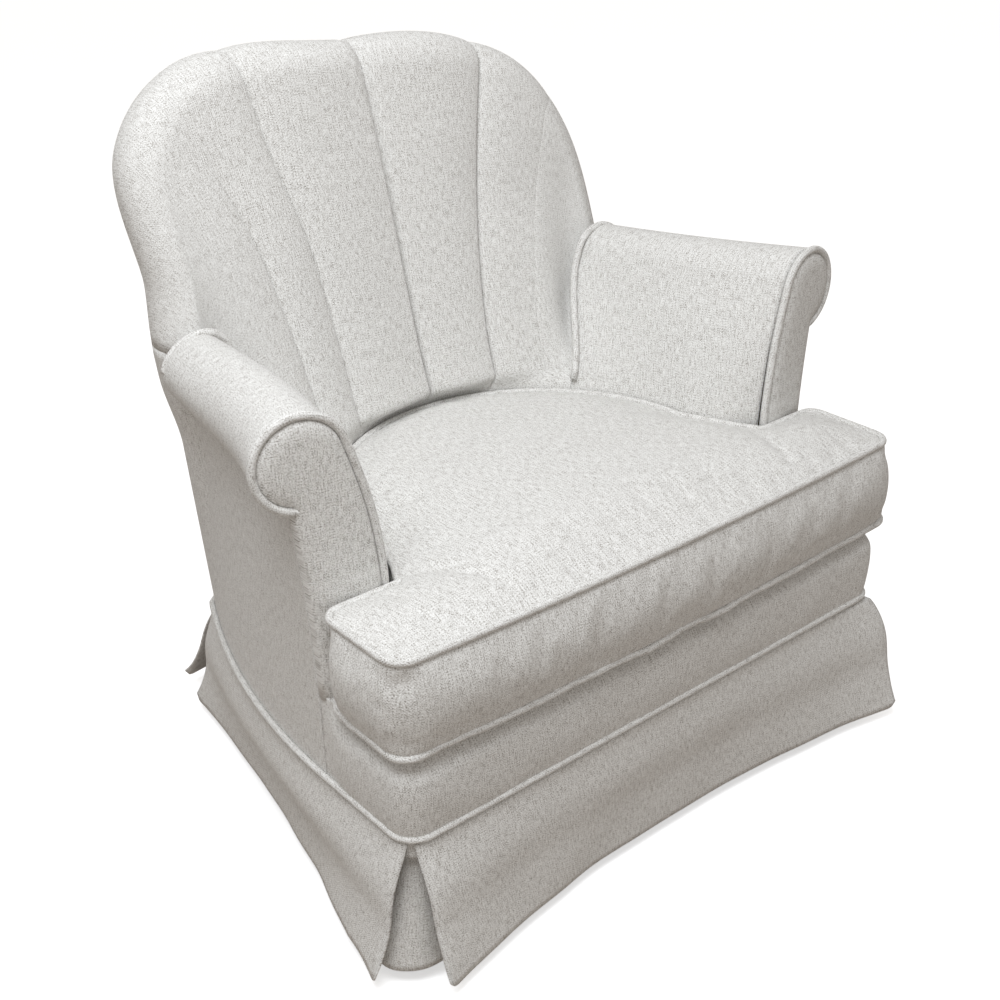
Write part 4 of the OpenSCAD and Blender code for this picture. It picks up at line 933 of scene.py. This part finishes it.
def frontSkirtPoint(u, t):
    along = abs(u)
    straight, arcStart = body["half"] - body["corner"], skirt["frontArc"]
    if along < arcStart:
        top = (u / arcStart * straight, body["front"] - skirt["out"])
    else:
        x, depth = cornerArc(skirt["cornerTurn"] * (along - arcStart) / (1 - arcStart))
        top = (math.copysign(x, u), depth)
    flare = mix(skirt["frontMiddle"], skirt["frontFlare"], along ** skirt["frontPower"])
    hem = (u * skirt["frontHem"] + skirt["frontShift"], body["front"] - flare)
    (x, depth, z), stand = hangPoint(top, hem, t, skirt["bulge"], u)
    # the end at the chair's right swings out just below the piping
    swing = skirt["endStand"] * math.sin(math.pi * t ** 0.5)
    swing *= ease((u - skirt["endFrom"]) / (1 - skirt["endFrom"]))
    p = spot(x + swing, depth - stand - swing * skirt["endForward"], z)
    return p + Vector((0, -1, 0)) * ripple(p, skirt["wave"], skirt["waveHigh"]) * t


def sideSkirtPoint(u, t):
    v, arcEnd = (u + 1) / 2, skirt["sideArc"]
    if v < arcEnd:
        top = cornerArc(mix(90 - skirt["cornerTurn"], 90, v / arcEnd))
    else:
        depth = mix(body["front"] + body["corner"], body["end"] - 2, (v - arcEnd) / (1 - arcEnd))
        top = (sideX(depth) + skirt["out"], depth)
    # the hem flares at both ends and is drawn in between them
    flare = skirt["sideFlare"] * (1 - v) ** skirt["sidePower"] + skirt["sideRear"] * v ** 3
    flare -= skirt["sideDraw"] * math.sin(math.pi * clamp(v * 1.15 - 0.15))
    hem = (sideX(v * (body["end"] - 32) + 30) + skirt["out"] + flare, mix(*skirt["sideHem"], v))
    bulge = skirt["bulge"] * mix(1.0, skirt["sideFull"], math.sin(math.pi * v))
    (x, depth, z), stand = hangPoint(top, hem, t, bulge, u, skirt["sideDrawn"])
    p = spot(x + stand, depth, z)
    return p + Vector((1, 0, 0)) * ripple(p, skirt["wave"], skirt["waveHigh"], 3.1) * t


def rearSkirtPoint(u, t):
    x = u * (sideX(body["end"]) - skirt["out"])
    top = (x, rearY(x) + skirt["out"])
    hem = (u * skirt["rearHalf"], rearY(x) + skirt["out"] + skirt["rearFlare"])
    (x, depth, z), stand = hangPoint(top, hem, t, skirt["bulge"], u)
    p = spot(x, depth + stand, z)
    return p + Vector((0, 1, 0)) * ripple(p, skirt["wave"], skirt["rearWaveHigh"], 7.7) * t


def hang(obj, nodeName):
    # a skirt panel is smoothed, thickened and left on no body, with its top at the seat and its hem near the
    # floor
    shadeSmooth(obj)
    thicken(obj, skirt["thickness"])
    applied(obj)
    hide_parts(nodeName)
    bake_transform(obj)


frontSkirt = clothPatch("frontSkirt", 150, 24, frontSkirtPoint, Vector((0, -1, 0)), cloth)
rightSkirt = clothPatch("rightSkirt", 120, 24, sideSkirtPoint, Vector((1, 0, 0)), cloth)
leftSkirt = mirroredCopy(rightSkirt, "leftSkirt")
rearSkirt = clothPatch("rearSkirt", 110, 24, rearSkirtPoint, Vector((0, 1, 0)), cloth)
hang(frontSkirt, "front_skirt")
hang(rightSkirt, "right_skirt")
hang(leftSkirt, "left_skirt")
hang(rearSkirt, "rear_skirt")

# the lines of an underlay's top and hem, in corner radii from the corner of the seat body
underlay = {"top": 156.7, "hem": 20, "across": 24, "up": 20,
            "frontTop": ((-1.65, 0.31), (-0.96, 0.35), (-0.54, 0.62), (-0.35, 1.08), (-0.35, 2)),
            "frontHem": ((-1.5, -0.5), (-0.27, -0.42), (0.58, 0.08), (1, 0.77), (1.04, 1.92)),
            "rearTop": ((-0.35, -1.04), (-0.46, -0.65), (-0.65, -0.38), (-1.04, -0.23), (-1.73, -0.15)),
            "rearHem": ((0.42, -0.27), (0.5, 0.96), (0.19, 1.73), (-0.5, 2.19), (-1.58, 2.35))}


def makeUnderlay(name, x, depth, tops, hems):
    r = body["corner"]
    steps = underlay["across"] // (len(tops) - 1)
    topLine, hemLine = (smoothPath([Vector((x + a * r, depth + b * r, 0)) for a, b in line], steps)
                        for line in (tops, hems))

    def place(u, t):
        k = round((u + 1) / 2 * underlay["across"])
        p = topLine[k].lerp(hemLine[k], t)
        return spot(p.x, p.y, mix(underlay["top"], underlay["hem"], t))
    outward = Vector((0, -1, 0)) if depth < sideFront else Vector((0, 1, 0))
    obj = clothPatch(name, underlay["across"], underlay["up"], place, outward, cloth)
    twin = mirroredCopy(obj, name.replace("right", "left"))
    for item in (obj, twin):
        hang(item, "pleat_underlays")


makeUnderlay("rightFrontUnderlay", body["half"], body["front"], underlay["frontTop"], underlay["frontHem"])
makeUnderlay("rightRearUnderlay", sideX(body["end"]), body["end"], underlay["rearTop"], underlay["rearHem"])


def skirtWeltPath():
    points = list(halfOutline)
    for k in range(1, 21):
        depth = mix(sideFront, body["end"] - 10, k / 20)
        points.append((sideX(depth), depth))
    corner = sideX(body["end"])
    points += [(corner + 1, body["end"] - 3), (corner - 5, body["end"] + 3)]
    points += [(corner * t, rearY(corner * t)) for t in (0.94, 0.85, 0.7, 0.5, 0.3, 0.15)]
    loop = points + [(0, rearY(0))] + [(-x, y) for x, y in reversed(points[1:])]
    off = weltR - 1
    return [spot(x + out[0] * off, depth + out[1] * off, skirt["weltZ"])
            for (x, depth), out in zip(loop, outwardOf(loop))]


skirtWelt = welt("skirtWelt", skirtWeltPath(), cloth, closed=True, diameter=skirt["weltDiameter"])
finishPiece(skirtWelt, "skirt_welt")
print("border and skirt made")

# loose seat cushion, blown up between its two welts

seat = {"half": 380, "bow": 9, "frontR": 24, "rearR": 18, "notchR": 9, "low": 297, "crown": 22,
        "crownShare": 0.72, "voxel": 7, "pressure": 4, "frames": 20, "slack": -0.02, "most": 12, "lip": 7,
        "swell": 9, "tuck": 2.5, "frontTo": 118, "lipRun": 40, "swellRun": 14, "reach": 26, "underDrop": 4,
        # rings of the underside, the boxing and the crown: inset, share of the height and share of the lip
        "under": ((22, 0), (9, 0.7)),
        "boxing": ((1.5, 0, 1), (0.5, 0.2, 0.8), (0, 0.5, 0.4), (0.5, 0.8, 0), (1.5, 1, 0)), "crownInset": 4,
        "crownPower": 2.5, "crownShares": (0.97, 0.9, 0.8, 0.68, 0.54, 0.4, 0.26, 0.12), "holdHigh": 9,
        "holdWide": 7, "holdUnder": 2}
spread = {"out": 13, "power": 0.7, "side": 180, "sideRun": 170, "depth": 150, "depthRun": 60}


def lowAt(depth):
    # the lower edge hangs over the border in front and rests on the deck behind
    return seat["low"] - seat["lip"] * ease((seat["frontTo"] - depth) / seat["lipRun"])


def cushionOutline():
    half, f, r, n = seat["half"], seat["frontR"], seat["rearR"], seat["notchR"]
    ear, neck = well["ear"], well["neck"]
    points = [(t / 14 * (half - f), -seat["bow"] * (1 - (t / 14) ** 2)) for t in range(14)]
    points += arcPoints(half - f, f, f, -90, 0, 7)
    points += [(half, mix(f, ear - r, t / 4)) for t in range(1, 4)]
    points += arcPoints(half - r, ear - r, r, 0, 90, 6)
    points += [(mix(half - r, neck + n, t / 4), ear) for t in range(1, 4)]
    points += arcPoints(neck + n, ear + n, n, -90, -180, 5)
    points += [(mix(neck, well["radius"], t), mix(ear, well["y"], t)) for t in (0.28, 0.42, 0.56, 0.7, 0.85)]
    points += arcPoints(0, well["y"], well["radius"], 0, 90, 12, last=False)
    return points + [(0, well["y"] + well["radius"])] + [(-x, y) for x, y in reversed(points[1:])]


cushionLoop = cushionOutline()
cushionOut = outwardOf(cushionLoop)


def cushionRing(inset, z, share=1.0, lip=0.0):
    # the outline drawn in by the inset, shrunk towards the middle of the crown
    ring = []
    middle = well["ear"] * seat["crownShare"]
    for (x, depth), out in zip(cushionLoop, cushionOut):
        px, py = x - out[0] * inset, depth - out[1] * inset
        drop = (seat["low"] - lowAt(py)) * lip
        ring.append(spot(px * share, mix(middle, py, share), z - drop))
    return ring


def makeCushion(sizes):
    bm = bmesh.new()
    low, high = sizes["low"], seatLine
    rings = [cushionRing(inset, low - sizes["underDrop"], lip=lip) for inset, lip in sizes["under"]]
    rings += [cushionRing(inset, mix(low, high, up), lip=lip) for inset, up, lip in sizes["boxing"]]
    for share in sizes["crownShares"]:
        rise = sizes["crown"] * (1 - share ** sizes["crownPower"])
        rings.append(cushionRing(sizes["crownInset"], high + rise, share))
    loops = []
    for ring in rings:
        verts = [bm.verts.new(p) for p in ring]
        loops.append([bm.edges.new((verts[k], verts[(k + 1) % len(verts)])) for k in range(len(verts))])
    for lower, upper in zip(loops, loops[1:]):
        bmesh.ops.bridge_loops(bm, edges=lower + upper)
    for edges in (loops[0], loops[-1]):
        bmesh.ops.contextual_create(bm, geom=edges)
    bmesh.ops.triangulate(bm, faces=[f for f in bm.faces if len(f.verts) > 4])
    bmesh.ops.recalc_face_normals(bm, faces=bm.faces)
    obj = objectFrom(bm, "seatCushion", cloth)
    remesh = obj.modifiers.new("Even", "REMESH")
    remesh.mode = "VOXEL"
    remesh.voxel_size = sizes["voxel"] / 1000
    return applied(obj)


def distanceToLine(x, depth):
    return min(math.hypot(x - a, depth - b) for a, b in denseLoop)


denseLoop, denseOut = [], []
for (ax, ay), (bx, by) in zip(cushionLoop, cushionLoop[1:] + cushionLoop[:1]):
    pieces = max(1, int(math.hypot(bx - ax, by - ay) / 6))
    ahead = Vector((bx - ax, by - ay)).normalized()
    denseLoop += [(mix(ax, bx, t / pieces), mix(ay, by, t / pieces)) for t in range(pieces)]
    denseOut += [(ahead.y, -ahead.x)] * pieces


def fillOut(obj, sizes):
    # the boxing swells beyond its piping in front and round the two ears
    finder = KDTree(len(denseLoop))
    for k, (x, depth) in enumerate(denseLoop):
        finder.insert((x, depth, 0), k)
    finder.balance()
    for vert in obj.data.vertices:
        x, depth, z = placeOf(vert.co)
        share = clamp((z - lowAt(depth)) / (seatLine - lowAt(depth)))
        k = finder.find((x, depth, 0))[1]
        front = ease((sizes["frontTo"] - depth) / sizes["swellRun"])
        swell = sizes["swell"] * math.sin(math.pi * share) ** 0.7 * front / 1000
        vert.co += Vector((denseOut[k][0] * swell, denseOut[k][1] * swell, 0))


def inflate(obj, sizes):
    # cloth under pressure, held along the two welts and over its flat underside
    held = obj.vertex_groups.new(name="Held")
    rest = [vert.co.copy() for vert in obj.data.vertices]
    for index, co in enumerate(rest):
        x, depth, z = placeOf(co)
        near = min(abs(z - lowAt(depth)), abs(z - seatLine)) < sizes["holdHigh"]
        if z < lowAt(depth) - sizes["holdUnder"] or (near and distanceToLine(x, depth) < sizes["holdWide"]):
            held.add([index], 1.0, "REPLACE")
    modifier = obj.modifiers.new("Cloth", "CLOTH")
    settings = modifier.settings
    settings.quality = 5
    settings.vertex_group_mass = "Held"
    settings.use_pressure = True
    settings.uniform_pressure_force = sizes["pressure"]
    settings.shrink_min = sizes["slack"]
    settings.effector_weights.gravity = 0
    modifier.point_cache.frame_start = 1
    modifier.point_cache.frame_end = sizes["frames"]
    for step in range(1, sizes["frames"] + 1):
        bpy.context.scene.frame_set(step)
    applied(obj)
    bpy.context.scene.frame_set(1)
    for vert, start in zip(obj.data.vertices, rest):
        way = vert.co - start
        if way.length > sizes["most"] / 1000:
            vert.co = start + way * (sizes["most"] / 1000 / way.length)


def leanOut(obj):
    # the worn cushion spreads towards its lower edge at the chair's right front corner
    for vert in obj.data.vertices:
        x, depth, z = placeOf(vert.co)
        share = clamp((seatLine - z) / (seatLine - lowAt(depth))) ** spread["power"]
        share *= ease((x - spread["side"]) / spread["sideRun"])
        share *= ease((spread["depth"] - depth) / spread["depthRun"])
        vert.co.x += spread["out"] * share / 1000


def boxUv(obj):
    # cloth lies flat on the top and upright on the sides
    mesh = obj.data
    layer = mesh.uv_layers.get("Cloth") or mesh.uv_layers.new(name="Cloth")
    for face in mesh.polygons:
        n = face.normal
        for index in face.loop_indices:
            co = mesh.vertices[mesh.loops[index].vertex_index].co
            if abs(n.z) > 0.6:
                layer.data[index].uv = (co.x, co.y)
            elif abs(n.y) > abs(n.x):
                layer.data[index].uv = (co.x, co.z)
            else:
                layer.data[index].uv = (co.y, co.z)


def soften(obj, rounds):
    # takes the steps out of the remeshed cushion
    bm = bmesh.new()
    bm.from_mesh(obj.data)
    for _ in range(rounds):
        bmesh.ops.smooth_vert(bm, verts=bm.verts, factor=0.5, use_axis_x=True, use_axis_y=True,
                              use_axis_z=True)
    bm.to_mesh(obj.data)
    bm.free()


def drawToPiping(obj, lines, reach):
    # the cover meets the middle of each piping all the way round
    bm = bmesh.new()
    bm.from_mesh(obj.data)
    surface = BVHTree.FromBMesh(bm)
    finder = KDTree(len(lines))
    pulls = []
    for k, point in enumerate(lines):
        finder.insert(point, k)
        pulls.append(point - surface.find_nearest(point)[0])
    finder.balance()
    for vert in bm.verts:
        _, k, gap = finder.find(vert.co)
        vert.co += pulls[k] * ease(1 - gap * 1000 / reach)
    bm.to_mesh(obj.data)
    bm.free()


cushion = makeCushion(seat)
print("cushion remeshed:", len(cushion.data.vertices))
soften(cushion, 3)
inflate(cushion, seat)
soften(cushion, 1)
fillOut(cushion, seat)
drawToPiping(cushion, [spot(x - out[0] * seat["tuck"], depth - out[1] * seat["tuck"], z)
                       for (x, depth), out in zip(denseLoop, denseOut) for z in (seatLine, lowAt(depth))],
             seat["reach"])
leanOut(cushion)
boxUv(cushion)
sub = cushion.modifiers.new("Round", "SUBSURF")
sub.levels = sub.render_levels = 1
finishPiece(cushion, "seat_cushion", body="cushion")

topLine = [spot(x, depth, seatLine) for x, depth in cushionLoop]
lowLine = [spot(x, depth, lowAt(depth)) for x, depth in cushionLoop]
lowLine = [p + Vector((0, 0, 1)) * ripple(p, 55, 5, 2.3) for p in lowLine]
topWelt = welt("cushionTopWelt", topLine, cloth, closed=True)
lowWelt = welt("cushionLowWelt", lowLine, cloth, closed=True)
leanOut(lowWelt)
finishPiece(topWelt, "cushion_welts", body="cushion")
finishPiece(lowWelt, "cushion_welts", body="cushion")
print("cushion made")

# coil springs between the yoke and the bracket

coil = {"diameter": 45, "wire": 5, "turns": 5, "x": 48, "y": 95, "low": 65.8, "high": 149.2, "steps": 20,
        "sides": 10}


def coilPath(x, y):
    points = []
    total, r = coil["turns"] * coil["steps"], (coil["diameter"] - coil["wire"]) / 2
    for k in range(total + 1):
        a, z = 2 * math.pi * k / coil["steps"], mix(coil["low"], coil["high"], k / total)
        points.append(Vector((x + r * math.cos(a), y + r * math.sin(a), z)) / 1000)
    return points


def evenFinish(name, colour, roughness, grain, metallic=1.0, bump=0.04):
    # one colour with faint stains that change its tone and gloss, for metal, paint, plastic and rubber
    material, tree, shader = newMaterial(name)
    where = addNode(tree, "ShaderNodeTexCoord").outputs["Object"]
    stain = addNode(tree, "ShaderNodeTexNoise", {}, Vector=where, Scale=grain, Detail=4.0, Roughness=0.6)
    gloss = addNode(tree, "ShaderNodeMapRange", {}, i0=stain.outputs[0], i1=0.3, i2=0.7,
                    i3=roughness - 0.07, i4=roughness + 0.09)
    tree.links.new(gloss.outputs[0], shader.inputs["Roughness"])
    fine = addNode(tree, "ShaderNodeTexNoise", {}, Vector=where, Scale=grain * 12, Detail=2.0)
    paintAndRaise(tree, shader, stain.outputs[0], ((0.3, dimmed(colour, 0.86)), (0.7, hexColour(colour))),
                  bump, 0.0005, fine.outputs[0])
    shader.inputs["Metallic"].default_value = metallic
    return material


def hardwood(name, light, dark):
    # planed hardwood, unfinished: warm brown with long wandering grain and short dark pores, half matte
    material, tree, shader = newMaterial(name)
    where = addNode(tree, "ShaderNodeTexCoord").outputs["Object"]
    drawn = addNode(tree, "ShaderNodeMapping", {}, Vector=where, Scale=(4.0, 34.0, 34.0))
    wander = addNode(tree, "ShaderNodeTexNoise", {}, Vector=drawn.outputs[0], Scale=1.2, Detail=5.0,
                     Roughness=0.6, Distortion=0.7)
    pores = addNode(tree, "ShaderNodeTexNoise", {}, Vector=drawn.outputs[0], Scale=14.0, Detail=3.0)
    both = addNode(tree, "ShaderNodeMath", {"operation": "MULTIPLY_ADD"}, i0=pores.outputs[0], i1=0.35,
                   i2=wander.outputs[0]).outputs[0]
    paintAndRaise(tree, shader, both, ((0.45, hexColour(dark)), (0.85, hexColour(light))), 0.2, 0.0006, both)
    shader.inputs["Roughness"].default_value = 0.62
    return material


def lining(name, colour, pitch):
    # thin plain lining cloth: one dull colour with a fine grain of threads
    material, tree, shader = newMaterial(name)
    uv = addNode(tree, "ShaderNodeUVMap", {"uv_map": "Cloth"}).outputs[0]
    grain = addNode(tree, "ShaderNodeTexNoise", {}, Vector=uv, Scale=pitch, Detail=2.0).outputs[0]
    stops = ((0.3, dimmed(colour, 0.7)), (0.7, hexColour(colour)))
    paintAndRaise(tree, shader, grain, stops, 0.3, 0.0006, grain)
    shader.inputs["Roughness"].default_value = 0.92
    return material


# grey wire with an oily gleam
springWire = evenFinish("OiledSpringSteel", "#8f9296", 0.35, 60.0)
# deep black with soft, broad highlights
blackPaint = evenFinish("BlackEnamelOnSteel", "#17181a", 0.42, 40.0, metallic=0.0, bump=0.08)
# cool bright grey, a little cloudy
zincPlate = evenFinish("ZincPlatedSteel", "#c3c6c9", 0.3, 50.0)
# almost a mirror
ballSteel = evenFinish("PolishedBearingSteel", "#dadcde", 0.13, 80.0, bump=0.01)
# warm yellow, half bright
cageBrass = evenFinish("PressedBrass", "#c69a4b", 0.3, 60.0)
# milky off-white, waxy
nylon = evenFinish("NaturalNylon", "#e7e0cf", 0.5, 30.0, metallic=0.0)
# black with a fine moulded grain
glidePlastic = evenFinish("BlackMouldedPlastic", "#1c1c1e", 0.48, 60.0, metallic=0.0, bump=0.15)
# dull black without a highlight
stopRubber = evenFinish("BlackRubber", "#161616", 0.8, 90.0, metallic=0.0, bump=0.3)
# warm light brown, long grain
frameWood = hardwood("PlanedHardwood", "#c9a06b", "#94693c")
# cream cotton, flat and matte
deckCloth = lining("CreamDeckCloth", "#cfc9bd", 700.0)
# thin black cloth that takes no light
dustCloth = lining("BlackDustCloth", "#2c2b2a", 900.0)

finishes = {
    blackPaint: ("base_ring", "base_cross", "swivel_plate", "rocker_yoke", "rocker_bracket",
                 "lower_spring_seats", "upper_spring_seats"),
    zincPlate: ("king_pin", "lower_race", "king_washer", "king_nut", "rock_shaft", "shaft_clips",
                "bracket_bolts"),
    ballSteel: ("bearing_balls",),
    cageBrass: ("ball_cage",),
    nylon: ("pivot_bushing", "shaft_bushings"),
    glidePlastic: ("floor_glides",),
    stopRubber: ("bump_stops",),
    springWire: ("seat_springs", "back_springs"),
    frameWood: ("bracket_rails", "front_rail", "left_side_rail", "right_side_rail", "rear_rail", "arm_posts",
                "arm_rails", "back_posts", "back_top_rail", "back_bottom_rail")}
for material, names in finishes.items():
    for name in names:
        nodes[name].data.materials.clear()
        nodes[name].data.materials.append(material)

for sign, row in ((-1, "front"), (1, "rear")):
    for side, word in ((-1, "left"), (1, "right")):
        spring = welt(word + row.capitalize() + "Spring", coilPath(side * coil["x"], sign * coil["y"]),
                      springWire, diameter=coil["wire"], sides=coil["sides"])
        shadeSmooth(spring)
        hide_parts(row + "_rocker_springs")
        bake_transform(spring)


def softCopy(nodeName, name, material, rounding):
    # a carried-over soft plate, merged, with its edges rounded
    bm = bmesh.new()
    bm.from_mesh(nodes[nodeName].data)
    bmesh.ops.remove_doubles(bm, verts=bm.verts, dist=0.00002)
    bmesh.ops.dissolve_limit(bm, angle_limit=math.radians(1), verts=bm.verts, edges=bm.edges)
    if rounding:
        # the edges of the top and the underside, but not the upright corners
        sharp = [e for e in bm.edges if len(e.link_faces) == 2 and e.calc_face_angle() > math.radians(50)
                 and any(abs(f.normal.z) >= 0.5 for f in e.link_faces)]
        bmesh.ops.bevel(bm, geom=sharp, offset=rounding / 1000, segments=3, affect="EDGES", profile=0.5,
                        material=-1, clamp_overlap=True)
    bmesh.ops.triangulate(bm, faces=bm.faces)
    obj = objectFrom(bm, name, material)
    boxUv(obj)
    return obj


deck = softCopy("seat_deck", "seatDeck", deckCloth, 6)
finishPiece(deck, "seat_deck", smooth=False)
dust = softCopy("dust_cover", "dustCover", dustCloth, 0)
finishPiece(dust, "dust_cover", smooth=False)
print("mechanism dressed")
